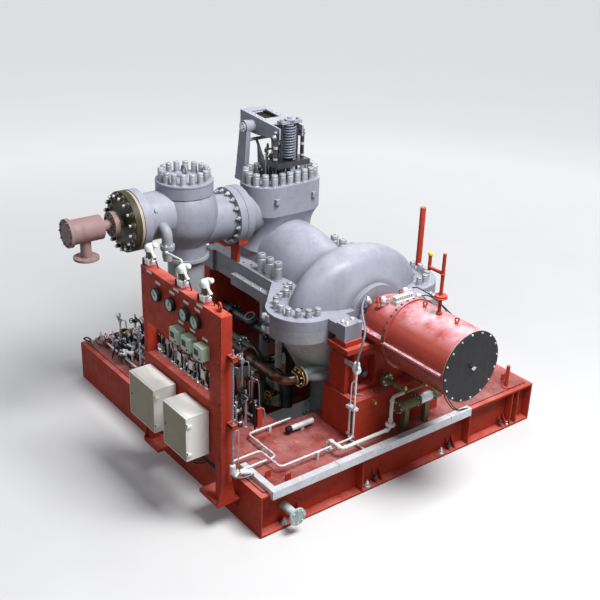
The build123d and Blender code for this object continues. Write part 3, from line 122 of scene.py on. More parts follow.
class Tree:
    """Short calls that build the node tree of a material or of the world."""

    def __init__(self, owner):
        owner.use_nodes = True
        self.owner = owner
        self.nodes = owner.node_tree.nodes
        self.links = owner.node_tree.links
        self.shader = self.nodes.get("Principled BSDF")

    def add(self, kind, **settings):
        """A node of one kind, with its settings."""
        node = self.nodes.new("ShaderNode" + kind)
        for key, value in settings.items():
            setattr(node, key, value)
        return node

    def put(self, socket, value):
        """A link or a plain value on an input socket."""
        if isinstance(value, bpy.types.NodeSocket):
            self.links.new(value, socket)
        else:
            socket.default_value = value

    def point(self):
        """The place on the object's own coordinates."""
        return self.add("TexCoord").outputs["Object"]

    def math(self, operation, first, second=0.0):
        """One step of arithmetic on two numbers."""
        node = self.add("Math", operation=operation)
        self.put(node.inputs[0], first)
        self.put(node.inputs[1], second)
        return node.outputs[0]

    def noise(self, scale, detail=3.0, roughness=0.55, stretch=(1, 1, 1), distortion=0.0):
        """Cloudy noise from 0 to 1 on the object's own coordinates."""
        mapping = self.add("Mapping")
        self.put(mapping.inputs["Vector"], self.point())
        mapping.inputs["Scale"].default_value = stretch
        node = self.add("TexNoise")
        self.put(node.inputs["Vector"], mapping.outputs[0])
        settings = {"Scale": scale, "Detail": detail, "Roughness": roughness, "Distortion": distortion}
        for name, number in settings.items():
            node.inputs[name].default_value = number
        return node.outputs["Fac"]

    def ramp(self, value, low, high, to_low=0.0, to_high=1.0):
        """A number stretched from one range to another, held at its ends."""
        node = self.add("MapRange")
        self.put(node.inputs["Value"], value)
        for name, number in (("From Min", low), ("From Max", high), ("To Min", to_low), ("To Max", to_high)):
            node.inputs[name].default_value = number
        return node.outputs["Result"]

    def mix(self, factor, first, second):
        """A colour between two colours."""
        node = self.add("Mix", data_type="RGBA")
        for index, value in ((0, factor), (6, first), (7, second)):
            self.put(node.inputs[index], value)
        return node.outputs[2]

    def facing_up(self):
        """How far the surface faces the sky."""
        split = self.add("SeparateXYZ")
        self.put(split.inputs[0], self.add("NewGeometry").outputs["Normal"])
        return self.ramp(split.outputs["Z"], 0.6, 0.95)

    def edges(self, radius):
        """Rounded normals, and how near the surface is to a sharp edge."""
        bevel = self.add("Bevel", samples=4)
        bevel.inputs["Radius"].default_value = radius
        dot = self.add("VectorMath", operation="DOT_PRODUCT")
        self.put(dot.inputs[0], bevel.outputs[0])
        self.put(dot.inputs[1], self.add("NewGeometry").outputs["Normal"])
        return bevel.outputs[0], self.ramp(dot.outputs["Value"], 0.995, 0.86)

    def crevice_shade(self, distance):
        """How shut in the surface is by what stands near it, used to paint shade into corners and crevices.
        """
        node = self.add("AmbientOcclusion", samples=4)
        node.inputs["Distance"].default_value = distance
        return self.ramp(node.outputs["AO"], 0.75, 0.2)

    def bump(self, height, strength, distance, normal=None):
        """A normal raised by a height."""
        node = self.add("Bump")
        node.inputs["Strength"].default_value = strength
        node.inputs["Distance"].default_value = distance
        self.put(node.inputs["Height"], height)
        if normal is not None:
            self.put(node.inputs["Normal"], normal)
        return node.outputs[0]

    def seen_rays(self):
        """One for what the camera, a reflection or a clear body sees, and zero for light on the object."""
        rays = self.add("LightPath").outputs
        seen = self.math("MAXIMUM", rays["Is Camera Ray"], rays["Is Glossy Ray"])
        return self.math("MAXIMUM", seen, rays["Is Transmission Ray"])

    def finish(self, colour, roughness, normal, metallic=0.0):
        """The material, with its colour, roughness and normal set on the shader."""
        self.put(self.shader.inputs["Base Color"], colour)
        self.put(self.shader.inputs["Roughness"], roughness)
        self.put(self.shader.inputs["Normal"], normal)
        self.shader.inputs["Metallic"].default_value = metallic
        return self.owner


materials = {}


def painted(name, colour, dirt_and_shade, worn_and_sheen, roughness=(0.35, 0.6), patches=0.12, soiling_and_shade=0.4, wear=0.5,
            grain=0.25, dust_and_sheen=0.0, above=None, gloss=0.3):
    """Brushed or sprayed paint on metal: cloudy colour, dirt and painted shade in corners, runs, chipped
    edges, fine grain.
    """
    tree = Tree(bpy.data.materials.new(name))
    colour, dirt_and_shade, worn_and_sheen = srgb(*colour), srgb(*dirt_and_shade), srgb(*worn_and_sheen)
    cloud = tree.ramp(tree.noise(1.6, 4), 0.3, 0.7)
    base = tree.mix(cloud, shade(colour, 1 - patches), shade(colour, 1 + patches))
    if above:
        level, upper_colour = above
        split = tree.add("SeparateXYZ")
        tree.put(split.inputs[0], tree.point())
        over = tree.ramp(split.outputs["Z"], level - 0.004, level + 0.004)
        base = tree.mix(over, base, srgb(*upper_colour))
    mottle = tree.noise(11, 6, 0.65)
    base = tree.mix(tree.ramp(mottle, 0.52, 0.75, 0, soiling_and_shade * 0.7), base, dirt_and_shade)
    runs = tree.noise(7, 4, 0.6, stretch=(1, 1, 0.12))
    base = tree.mix(tree.ramp(runs, 0.56, 0.78, 0, soiling_and_shade * 0.6), base, dirt_and_shade)
    # Faces that point up turn towards the pale worn colour: settled dust, and a painted sheen of the light
    # from above
    if dust_and_sheen:
        settled_and_sheen = tree.math("MULTIPLY", tree.facing_up(), tree.ramp(tree.noise(3.5, 7, 0.7), 0.35, 0.65))
        base = tree.mix(tree.math("MULTIPLY", settled_and_sheen, dust_and_sheen), base, worn_and_sheen)
    # Darker where ambient occlusion finds corners and crevices: dirt, and painted shade
    corner = tree.math("MULTIPLY", tree.crevice_shade(0.09), tree.ramp(mottle, 0.3, 0.6, 0.5, 1))
    base = tree.mix(tree.math("MULTIPLY", corner, 0.8 * soiling_and_shade + 0.2), base, dirt_and_shade)
    normal, edge = tree.edges(0.006)
    chips = tree.ramp(tree.noise(38, 5, 0.7), 0.47, 0.6)
    base = tree.mix(tree.math("MULTIPLY", tree.math("MULTIPLY", edge, chips), wear), base, worn_and_sheen)
    height = tree.math("ADD", tree.noise(190, 3, 0.6), tree.math("MULTIPLY", mottle, 2.5))
    tree.shader.inputs["Specular IOR Level"].default_value = gloss
    shine = tree.ramp(mottle, 0.3, 0.7, *roughness)
    materials[name] = tree.finish(base, shine, tree.bump(height, grain, 0.002, normal))


def metal(name, colour, dirt_and_shade, roughness=(0.28, 0.5), soiling_and_shade=0.5, metallic=0.9, edge_highlight=0.3):
    """Bare metal: stained, darker in crevices with dirt and painted shade, scratched, lighter along its edges
    with a painted highlight.
    """
    tree = Tree(bpy.data.materials.new(name))
    colour, dirt_and_shade = srgb(*colour), srgb(*dirt_and_shade)
    mottle = tree.noise(24, 6, 0.7)
    base = tree.mix(tree.ramp(mottle, 0.35, 0.7), shade(colour, 0.82), shade(colour, 1.12))
    # Darker in crevices by ambient occlusion: stains, and painted shade
    base = tree.mix(tree.math("MULTIPLY", tree.crevice_shade(0.05), soiling_and_shade), base, dirt_and_shade)
    base = tree.mix(tree.ramp(tree.noise(6, 5, 0.6), 0.5, 0.72, 0, soiling_and_shade), base, dirt_and_shade)
    normal, edge = tree.edges(0.004)
    # Lighter along the edges: a painted edge highlight
    base = tree.mix(tree.math("MULTIPLY", edge, edge_highlight), base, shade(colour, 1.6))
    scratches = tree.noise(210, 2, 0.5, stretch=(1, 1, 0.25))
    shine = tree.ramp(mottle, 0.3, 0.7, *roughness)
    materials[name] = tree.finish(base, shine, tree.bump(scratches, 0.2, 0.001, normal), metallic)


def heat_tinted(name):
    """Steel coloured by heat: brown runs that turn gold and blue in bands."""
    tree = Tree(bpy.data.materials.new(name))
    band = tree.noise(5, 3, 0.5, distortion=0.6)
    base = tree.mix(tree.ramp(band, 0.36, 0.5), srgb(0.20, 0.15, 0.14), srgb(0.40, 0.29, 0.23))
    base = tree.mix(tree.ramp(band, 0.56, 0.64), base, srgb(0.70, 0.56, 0.34))
    base = tree.mix(tree.ramp(tree.noise(16, 5, 0.7), 0.55, 0.7, 0, 0.6), base, srgb(0.12, 0.10, 0.13))
    normal, edge = tree.edges(0.004)
    # Pale gold along the edges: a painted edge highlight
    base = tree.mix(tree.math("MULTIPLY", edge, 0.5), base, srgb(0.85, 0.72, 0.45))
    shine = tree.ramp(band, 0.3, 0.7, 0.2, 0.38)
    materials[name] = tree.finish(base, shine, tree.bump(tree.noise(180, 2), 0.15, 0.001, normal), 0.85)


# Paints: main colour, dirt and painted corner shade, worn edges with settled dust and a painted sheen on top
# faces

painted("skid_red", (0.70, 0.24, 0.165), (0.28, 0.09, 0.06), (0.90, 0.62, 0.60), (0.42, 0.65), soiling_and_shade=0.35,
        dust_and_sheen=0.4, gloss=0.14)
painted("casing_grey", (0.55, 0.555, 0.605), (0.36, 0.35, 0.34), (0.80, 0.80, 0.84), (0.36, 0.55),
        patches=0.1, soiling_and_shade=0.42, wear=0.8, dust_and_sheen=0.28, gloss=0.4)
painted("casing_lower_grey", (0.75, 0.81, 0.80), (0.37, 0.40, 0.33), (0.70, 0.72, 0.70), soiling_and_shade=0.6,
        above=(1.51, (0.58, 0.59, 0.61)))
painted("deck_red", (0.52, 0.17, 0.13), (0.18, 0.08, 0.06), (0.76, 0.57, 0.56), (0.35, 0.65),
        patches=0.2, soiling_and_shade=0.6, dust_and_sheen=0.5)
# The guard's pale top faces are a painted highlight
painted("guard_red", (0.62, 0.235, 0.185), (0.38, 0.14, 0.11), (0.88, 0.72, 0.76), (0.24, 0.36),
        patches=0.08, soiling_and_shade=0.22, grain=0.12, dust_and_sheen=1.0, gloss=0.5)
painted("cover_black", (0.10, 0.10, 0.115), (0.24, 0.19, 0.17), (0.48, 0.45, 0.45), (0.38, 0.6),
        patches=0.3, soiling_and_shade=0.45)
painted("cream_paint", (0.99, 0.985, 0.95), (0.66, 0.62, 0.50), (0.98, 0.98, 0.96), (0.3, 0.42),
        patches=0.04, soiling_and_shade=0.25, wear=0.8, grain=0.12, dust_and_sheen=0.7)
painted("door_beige", (0.62, 0.58, 0.48), (0.44, 0.40, 0.30), (0.90, 0.88, 0.82), (0.32, 0.45),
        patches=0.05, soiling_and_shade=0.3, wear=0.8, grain=0.12)
painted("bridge_paint", (0.20, 0.20, 0.22), (0.10, 0.10, 0.10), (0.60, 0.60, 0.64), (0.4, 0.6),
        above=(3.372, (0.56, 0.57, 0.61)))
painted("primer_pink", (0.58, 0.475, 0.465), (0.32, 0.23, 0.20), (0.82, 0.74, 0.73), (0.5, 0.7))
painted("olive_steel", (0.21, 0.19, 0.11), (0.10, 0.09, 0.06), (0.45, 0.42, 0.33), (0.4, 0.6), patches=0.25)
painted("spacer_steel", (0.68, 0.63, 0.57), (0.42, 0.38, 0.32), (0.82, 0.8, 0.76), soiling_and_shade=0.35)
painted("instrument_white", (0.86, 0.87, 0.86), (0.44, 0.43, 0.40), (0.97, 0.97, 0.97), (0.25, 0.4),
        patches=0.05, soiling_and_shade=0.3)
painted("box_green", (0.78, 0.88, 0.78), (0.45, 0.52, 0.44), (0.93, 0.97, 0.93), (0.3, 0.45),
        patches=0.04, soiling_and_shade=0.15)
painted("pipe_white", (0.86, 0.86, 0.83), (0.50, 0.48, 0.42), (0.96, 0.96, 0.95), (0.28, 0.42),
        patches=0.04, soiling_and_shade=0.25)
painted("pipe_olive", (0.42, 0.41, 0.24), (0.20, 0.18, 0.10), (0.66, 0.64, 0.48), (0.35, 0.5))
painted("rubber_black", (0.06, 0.06, 0.065), (0.14, 0.13, 0.12), (0.22, 0.22, 0.22), (0.45, 0.65),
        soiling_and_shade=0.3, wear=0.2)
painted("dial_face", (0.84, 0.90, 0.84), (0.66, 0.72, 0.64), (0.95, 0.97, 0.95), (0.2, 0.3),
        patches=0.03, soiling_and_shade=0.1, wear=0.0, grain=0.05)
painted("cap_yellow", (0.88, 0.74, 0.25), (0.55, 0.42, 0.12), (0.95, 0.88, 0.55), (0.35, 0.5), soiling_and_shade=0.2)

# Bare metals: main colour, and stains with painted crevice shade

metal("nut_steel", (0.69, 0.70, 0.73), (0.20, 0.19, 0.16), (0.36, 0.55), metallic=0.4, edge_highlight=0.7)
metal("bright_steel", (0.80, 0.81, 0.83), (0.24, 0.23, 0.21), (0.25, 0.4), metallic=0.7, edge_highlight=0.5)
metal("tray_zinc", (0.86, 0.87, 0.89), (0.52, 0.53, 0.55), (0.35, 0.5), soiling_and_shade=0.3, metallic=0.25)
metal("dark_steel", (0.32, 0.32, 0.34), (0.10, 0.09, 0.08), (0.35, 0.55), soiling_and_shade=0.4)
metal("brass", (0.70, 0.60, 0.36), (0.35, 0.26, 0.12), (0.25, 0.4), soiling_and_shade=0.3)
metal("gold_ring", (0.90, 0.72, 0.34), (0.50, 0.34, 0.12), (0.2, 0.35), soiling_and_shade=0.15)
metal("hose_grey", (0.50, 0.52, 0.58), (0.20, 0.20, 0.22), (0.35, 0.5), metallic=0.4)
heat_tinted("pipe_heat")

finish_of = {entry["node"]: entry["material_slot"] for entry in frame["record"]["subparts"]}
finish_of["deck_plate"] = "deck_red"
finish_of["spring_bridge"] = "bridge_paint"
for half in ("upper", "lower"):
    finish_of["coupling_guard_" + half] = "guard_red"
    finish_of["bearing_housing_" + half] = "guard_red"
for name, finish in finish_of.items():
    nodes[name].data.materials.clear()
    nodes[name].data.materials.append(materials[finish])
# Front faces of each door take the darker beige, the other faces the paler first material: partly the door's
# own colours, partly painted shade on the front and painted light on the lit edges
for number in (1, 2):
    door = nodes[f"junction_box_{number}_door"].data
    door.materials.append(materials["door_beige"])
    for face in door.polygons:
        face.material_index = int(face.normal.y <= -0.5)


# Places on the frame's solids


def solid_tree():
    """One search tree over all the frame's solids."""
    points = []
    faces = []
    for node in nodes.values():
        start = len(points)
        points += [vertex.co.copy() for vertex in node.data.vertices]
        faces += [[start + index for index in polygon.vertices] for polygon in node.data.polygons]
    return BVHTree.FromPolygons(points, faces)


solids = solid_tree()


def on_top(x, y, above=2.4):
    """The place where a plumb line from above first meets the solids."""
    return solids.ray_cast(Vector((x, y, above)), DOWN)[0]


def under(x, y, below):
    """The place where a plumb line from below first meets the solids."""
    return solids.ray_cast(Vector((x, y, below)), UP)[0]


def seen(u, v):
    """The place on the solids that shows at a pixel of the photograph, and the way its surface faces."""
    ray = ahead * picture_depth + right * (u - picture_middle) - up * (v - picture_middle)
    place, normal = solids.ray_cast(eye, ray.normalized())[:2]
    return place, -normal if normal.dot(ray) > 0 else normal


def islands(name):
    """The lowest and highest corners of each separate solid of a node."""
    mesh = nodes[name].data
    steps_per_metre = 20000
    keys = [tuple(round(value * steps_per_metre) for value in vertex.co) for vertex in mesh.vertices]
    parent = {key: key for key in keys}

    def root(key):
        while parent[key] != key:
            parent[key] = parent[parent[key]]
            key = parent[key]
        return key

    for polygon in mesh.polygons:
        first = keys[polygon.vertices[0]]
        for index in polygon.vertices[1:]:
            parent[root(keys[index])] = root(first)
    groups = {}
    for key, vertex in zip(keys, mesh.vertices):
        groups.setdefault(root(key), []).append(vertex.co)
    corners = [
        [Vector([pick(part) for part in zip(*group)]) for pick in (min, max)] for group in groups.values()
    ]
    return sorted(corners, key=lambda pair: tuple(pair[0]))


# Shapes


def side_ways(direction):
    """Two directions square to a direction and to each other."""
    other = UP if abs(direction.z) < 0.9 else DRIVE
    across = other.cross(direction).normalized()
    return across, direction.cross(across)


def circle(count, radius, first=0.0):
    """Points evenly spaced on a circle, as pairs."""
    angles = [radians(first) + 2 * pi * step / count for step in range(count)]
    return [(radius * cos(angle), radius * sin(angle)) for angle in angles]


def rounded(points, bend, steps=5):
    """The points of a rigid pipe's centreline, with an arc at each corner."""
    points = [Vector(point) for point in points]
    line = [points[0]]
    for before, corner, after in zip(points, points[1:], points[2:]):
        back = (before - corner).normalized()
        on = (after - corner).normalized()
        reach = min(bend, (before - corner).length / 2, (after - corner).length / 2)
        start = corner + back * reach
        end = corner + on * reach
        for step in range(steps + 1):
            share = step / steps
            line.append(start * (1 - share) ** 2 + corner * 2 * share * (1 - share) + end * share ** 2)
    return [*line, points[-1]]


def smooth(points, steps=8):
    """A smooth line through the points, for a flexible conduit that is fixed at both ends."""
    points = [Vector(point) for point in points]
    ends = [2 * points[0] - points[1], *points, 2 * points[-1] - points[-2]]
    line = []
    for a, b, c, d in zip(ends, ends[1:], ends[2:], ends[3:]):
        for step in range(steps):
            t = step / steps
            bend = 2 * a - 5 * b + 4 * c - d
            twist = 3 * b - a - 3 * c + d
            line.append(0.5 * (2 * b + (c - a) * t + bend * t * t + twist * t ** 3))
    return [*line, points[-1]]


class Shape:
    """Vertices and faces gathered for one piece, with its name, material and body."""

    def __init__(self, name, material, body="frame", replaces=()):
        self.name = name
        self.material = material
        self.body = body
        self.replaces = replaces
        self.points = []
        self.faces = []

    def skin(self, rings):
        """Joins rings of equally many points, each to the next, and closes both ends."""
        start = len(self.points)
        count = len(rings[0])
        for ring in rings:
            self.points += ring
        for step in range(len(rings) - 1):
            low = start + step * count
            for side in range(count):
                after = (side + 1) % count
                self.faces.append((low + side, low + after, low + count + after, low + count + side))
        last = start + (len(rings) - 1) * count
        self.faces.append(tuple(start + side for side in reversed(range(count))))
        self.faces.append(tuple(last + side for side in range(count)))
        return self

    def lathe(self, place, direction, profile, sides=16, turn=0.0):
        """A turned form, from pairs of a height along the direction and a radius there."""
        place = Vector(place)
        direction = Vector(direction).normalized()
        across, other = side_ways(direction)
        rings = []
        for height, radius in profile:
            middle = place + direction * height
            corners = circle(sides, max(radius, thinnest), turn)
            rings.append([middle + across * a + other * b for a, b in corners])
        return self.skin(rings)

    def disc(self, place, direction, radius, thickness, sides=6):
        """A plain disc or hexagon."""
        return self.lathe(place, direction, [(0, radius), (thickness, radius)], sides)

    def cap(self, place, direction, radius, height, top, tip, sides=6, turn=0.0):
        """A disc or hexagon with a chamfered end."""
        return self.lathe(place, direction, [(0, radius), (height, radius), (top, tip)], sides, turn)

    def neck(self, place, direction, radius, height, thin, end, sides=6):
        """A disc or hexagon that steps down to a thinner stem."""
        step = height + 0.002
        return self.lathe(place, direction, [(0, radius), (height, radius), (step, thin), (end, thin)], sides)

    def tube(self, line, radius, sides=8):
        """A round bar along a line of points."""
        line = [Vector(point) for point in line]
        across = side_ways((line[1] - line[0]).normalized())[0]
        rings = []
        for index, point in enumerate(line):
            before = line[max(index - 1, 0)]
            after = line[min(index + 1, len(line) - 1)]
            direction = (after - before).normalized()
            across = (across - direction * across.dot(direction)).normalized()
            other = direction.cross(across)
            rings.append([point + across * a + other * b for a, b in circle(sides, radius)])
        return self.skin(rings)

    def pipe(self, points, bend, radius, sides=8):
        """A rigid pipe with bends at its corners."""
        return self.tube(rounded(points, bend), radius, sides)

    def hose(self, points, radius, sides=8):
        """A flexible hose through the points."""
        return self.tube(smooth(points), radius, sides)

    def ring(self, place, direction, radius, bar, sides=8, count=20):
        """A closed ring of round bar whose axis is the direction."""
        place = Vector(place)
        direction = Vector(direction).normalized()
        across, other = side_ways(direction)
        start = len(self.points)
        for c, s in circle(count, 1):
            out = across * c + other * s
            self.points += [place + out * (radius + a) + direction * b for a, b in circle(sides, bar)]
        for step in range(count):
            low = start + step * sides
            high = start + (step + 1) % count * sides
            for side in range(sides):
                after = (side + 1) % sides
                self.faces.append((low + side, high + side, high + after, low + after))
        return self

    def hull(self, points):
        """The smallest solid that holds the points."""
        mesh = bmesh.new()
        for point in points:
            mesh.verts.new(point)
        found = bmesh.ops.convex_hull(mesh, input=mesh.verts)
        loose = [item for item in found["geom_interior"] if isinstance(item, bmesh.types.BMVert)]
        bmesh.ops.delete(mesh, geom=loose, context="VERTS")
        mesh.verts.index_update()
        start = len(self.points)
        self.points += [vertex.co.copy() for vertex in mesh.verts]
        self.faces += [tuple(start + vertex.index for vertex in face.verts) for face in mesh.faces]
        mesh.free()
        return self

    def box(self, low, high, chamfer=0.002):
        """A block with chamfered edges."""
        middle = (Vector(low) + Vector(high)) / 2
        half = [abs(value) for value in (Vector(high) - Vector(low)) / 2]
        chamfer = min(chamfer, min(half) * 0.6)
        points = []
        for corner in [(a, b, c) for a in SIDES for b in SIDES for c in SIDES]:
            for inset in range(3):
                size = [part - (0 if axis == inset else chamfer) for axis, part in enumerate(half)]
                points.append(middle + Vector([way * part for way, part in zip(corner, size)]))
        return self.hull(points)

    def block(self, x, y, low, high, half_x, half_y, chamfer=0.002):
        """A chamfered block round an upright axis, between two heights."""
        return self.box((x - half_x, y - half_y, low), (x + half_x, y + half_y, high), chamfer)

    def plate(self, x, z, half_x, half_z, low_y, high_y, chamfer=0.0008):
        """A thin upright plate round a level axis across the machine."""
        return self.box((x - half_x, low_y, z - half_z), (x + half_x, high_y, z + half_z), chamfer)

    def bolt(self, place, direction, radius, stud=0.35):
        """A hexagon nut or head on a washer, with the end of its stud."""
        r = radius
        self.lathe(place, direction, [(-0.002, r * 1.3), (r * 0.2, r * 1.3), (r * 0.22, r * 1.2)], 12)
        head = [(r * 0.2, r * 0.94), (r * 0.3, r * 1.1), (r * 0.95, r * 1.1), (r * 1.1, r * 0.9)]
        self.lathe(place, direction, head, 6, turn=place[0] * 900 + place[1] * 700)
        if stud:
            tip = r * (1.1 + stud)
            self.lathe(place, direction, [(r, r * 0.55), (tip - r * 0.1, r * 0.55), (tip, r * 0.4)], 8)
        return self

    def bolts_round(self, centre, direction, count, reach, radius, first=0.0, stud=0.35):
        """Bolts evenly spaced round an axis that runs along X, Y or Z."""
        x, y, z = centre
        for a, b in circle(count, reach, first):
            if direction[0]:
                place = (x, y + a, z + b)
            elif direction[1]:
                place = (x + a, y, z + b)
            else:
                place = (x + a, y + b, z)
            self.bolt(place, direction, radius, stud)

    def piece(self):
        """The finished object, riding on its body."""
        mesh = bpy.data.meshes.new(self.name)
        mesh.from_pydata([tuple(point) for point in self.points], [], self.faces)
        mesh.shade_smooth()
        mesh.set_sharp_from_angle(angle=radians(32))
        mesh.materials.append(materials[self.material])
        piece = bpy.data.objects.new(self.name, mesh)
        scene.collection.objects.link(piece)
        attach(piece, self.body)
        if self.replaces:
            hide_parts(*self.replaces)
        return piece


def make(*shapes):
    """The finished objects of several shapes."""
    return [shape.piece() for shape in shapes]


# Nuts and bolts of the casings


def stud_nuts():
    """The tall round nuts of the casing, the chest and the valve: washer, grooved barrel, dimpled top."""
    profile = (
        (0, 1.08), (0.05, 1.08), (0.06, 0.97), (0.10, 0.99), (0.70, 0.99), (0.72, 0.88),
        (0.77, 0.88), (0.79, 0.97), (0.94, 0.97), (1, 0.84), (1, 0.36), (0.93, 0.3),
    )
    for node in ("casing_nuts_near", "casing_nuts_far", "steam_chest_nuts", "stop_valve_nuts"):
        nuts = Shape("round_" + node, "nut_steel", replaces=[node])
        for low, high in islands(node):
            middle = (low + high) / 2
            tall, radius = high.z - low.z, (high.y - low.y) / 2
            nuts.lathe((middle.x, middle.y, low.z), UP, [(tall * h, radius * r) for h, r in profile], 20)
        make(nuts)


def inlet_details():
    """The nuts, gaskets, rims, bands and plug of the stop valve, and the bolts of its supply line."""
    nuts = Shape("outlet_flange_studs", "bright_steel", replaces=["outlet_flange_nuts"])
    for low, high in islands("outlet_flange_nuts"):
        middle = (low + high) / 2
        nuts.bolt((middle.x, high.y, middle.z), NEAR, 0.024, stud=0.8)
    studs = Shape("blank_flange_studs", "bright_steel")
    low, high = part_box("inlet_blank_flange")
    middle = (low + high) / 2
    for x, z in circle(16, 0.286, 11):
        studs.cap((middle.x + x, low.y - 0.001, middle.z + z), NEAR, 0.017, 0.014, 0.018, 0.013, 10)
        studs.disc((middle.x + x, low.y + 0.044, middle.z + z), NEAR, 0.029, 0.004, 14)
    gaskets = Shape("flange_gaskets", "rubber_black")
    for y, z, radius in ((-0.6435, 2.356, 0.3295), (-1.93, inlet_z, 0.3225), (-1.966, inlet_z, 0.3225)):
        gaskets.disc((inlet_x, y - 0.0022, z), FAR, radius, 0.0044, 64)
    bolts = Shape("supply_line_bolts", "dark_steel")
    for y, way, count, reach, radius, first, stud in (
        (-2.176, NEAR, 8, 0.105, 0.013, 22, 0.35), (-2.124, FAR, 8, 0.105, 0.013, 22, 0.35),
        (-2.674, NEAR, 10, 0.128, 0.011, 0, 0.7),
    ):
        bolts.bolts_round((inlet_x, y, inlet_z), way, count, reach, radius, first, stud)
    rims = Shape("supply_flange_rims", "primer_pink")
    for y, low, high in ((-2.13, 0.137, 0.139), (-2.178, 0.137, 0.139), (-2.64, 0.1525, 0.154)):
        rims.lathe((inlet_x, y, inlet_z), FAR, [(0, low), (0.003, high), (0.008, low)], 40)
    drain = Shape("valve_drain_nuts", "bright_steel")
    for z, way in ((2.329, UP), (2.276, DOWN)):
        drain.bolts_round((-0.2, -1.7, z), way, 6, 0.058, 0.012, 15, 0.6)
    bands = Shape("valve_band_and_plug", "casing_grey")
    bands.lathe((-0.2, -1.7, 2.276), UP, [(0, 0.074), (0.003, 0.077), (0.021, 0.077), (0.024, 0.074)], 32)
    bands.lathe((inlet_x, -1.27, 2.862), UP, [
        (0, 0.3155), (0.004, 0.318), (0.022, 0.318), (0.027, 0.3155)], 64)
    plug_pixel = (156, 211)
    place, normal = seen(*plug_pixel)
    bands.cap(place - normal * 0.004, normal, 0.024, 0.014, 0.018, 0.02)
    make(nuts, studs, gaskets, bolts, rims, drain, bands)


def casing_bolts():
    """The bolts on the casing's palms, ledges and bearing flange, with its studs, pins and branches."""
    bolts = Shape("casing_palm_bolts", "bright_steel")
    studs = Shape("seal_studs", "nut_steel")
    holes = Shape("casing_jack_screw_holes", "rubber_black")
    pins = Shape("casing_lug_pins", "casing_grey")
    for side in SIDES:
        for x, y in ((1.44, 0.50), (1.50, 0.61), (1.44, 0.62)):
            bolts.bolt(on_top(x, side * y, 1.95), UP, 0.02)
        for x in (-0.43, -0.27, -0.11, 0.05, 0.21, 0.35):
            bolts.lathe(on_top(x, side * 0.665, 1.75), UP, [
                (-0.001, 0.018), (0.010, 0.018), (0.013, 0.014), (0.013, 0.009), (0.006, 0.008)], 12)
        for x in (1.34, 1.44, 1.56, 1.66, 1.75):
            bolts.bolt(on_top(x, side * 0.375, 1.75), UP, 0.013)
        for x, y, height in ((1.30, 0.33, 0.10), (1.33, 0.26, 0.11), (1.31, 0.40, 0.09)):
            studs.lathe(on_top(x, side * y), UP, [
                (-0.02, 0.03), (0.01, 0.03), (0.012, 0.024), (height * 0.55, 0.024), (height * 0.57, 0.017),
                (height, 0.017), (height + 0.006, 0.011)], 6, turn=x * 900)
        # Thin black discs stand in for the jack screw holes: painted shade
        for x, y in ((-0.33, 0.53), (0.31, 0.54), (-0.44, 0.56), (0.62, 0.80), (0.98, 0.80)):
            holes.lathe(on_top(x, side * y, 1.95), UP, [(-0.001, 0.014), (0.0012, 0.014)], 12)
        for height in (1.715, 1.585):
            pins.lathe((0.80, side * 1.062, height), (-0.62, side * 0.78, 0), [
                (0, 0.036), (0.035, 0.034), (0.042, 0.043), (0.052, 0.048), (0.080, 0.046), (0.094, 0.038),
                (0.098, 0.018)], 20)
        branch = [(0.98, side * 0.79, 1.0), (1.14, side * 0.655, 1.02), (1.16, side * 0.40, 1.03)]
        pins.pipe(branch, 0.08, 0.042, 18)
        pins.disc((1.03, side * 0.748, 1.007), (0.76, -side * 0.64, 0.09), 0.05, 0.02, 20)
    make(bolts, studs, holes, pins)


# Lever gear above the chest


def closing_spring():
    """The spring's coil round its dark core, and the cap over it."""
    low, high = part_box("closing_spring")
    middle = (low + high) / 2
    rise = high.z - low.z
    radius, wire, turns, steps = 0.0715, 0.0105, 13, 20
    line = []
    for step in range(turns * steps + 1):
        share = step / (turns * steps)
        angle = 2 * pi * turns * share
        height = low.z + wire + (rise - 2 * wire) * share
        line.append((middle.x + radius * cos(angle), middle.y + radius * sin(angle), height))
    coil = Shape("closing_spring_coil", "hose_grey", replaces=["closing_spring"]).tube(line, wire)
    core = Shape("closing_spring_core", "rubber_black").lathe((middle.x, middle.y, low.z + 0.002), UP, [
        (0, 0.052), (0.02, 0.052), (0.022, 0.056), (rise - 0.024, 0.056), (rise - 0.022, 0.052),
        (rise - 0.004, 0.052)], 24)
    for part in make(coil, core):
        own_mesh(part)
    cap = Shape("spring_cap", "casing_grey")
    cap.cap((middle.x, 0, 3.40), UP, 0.066, 0.016, 0.022, 0.058, 8, 22.5)
    cap.cap((middle.x, 0, 3.42), UP, 0.03, 0.018, 0.022, 0.024)
    make(cap)


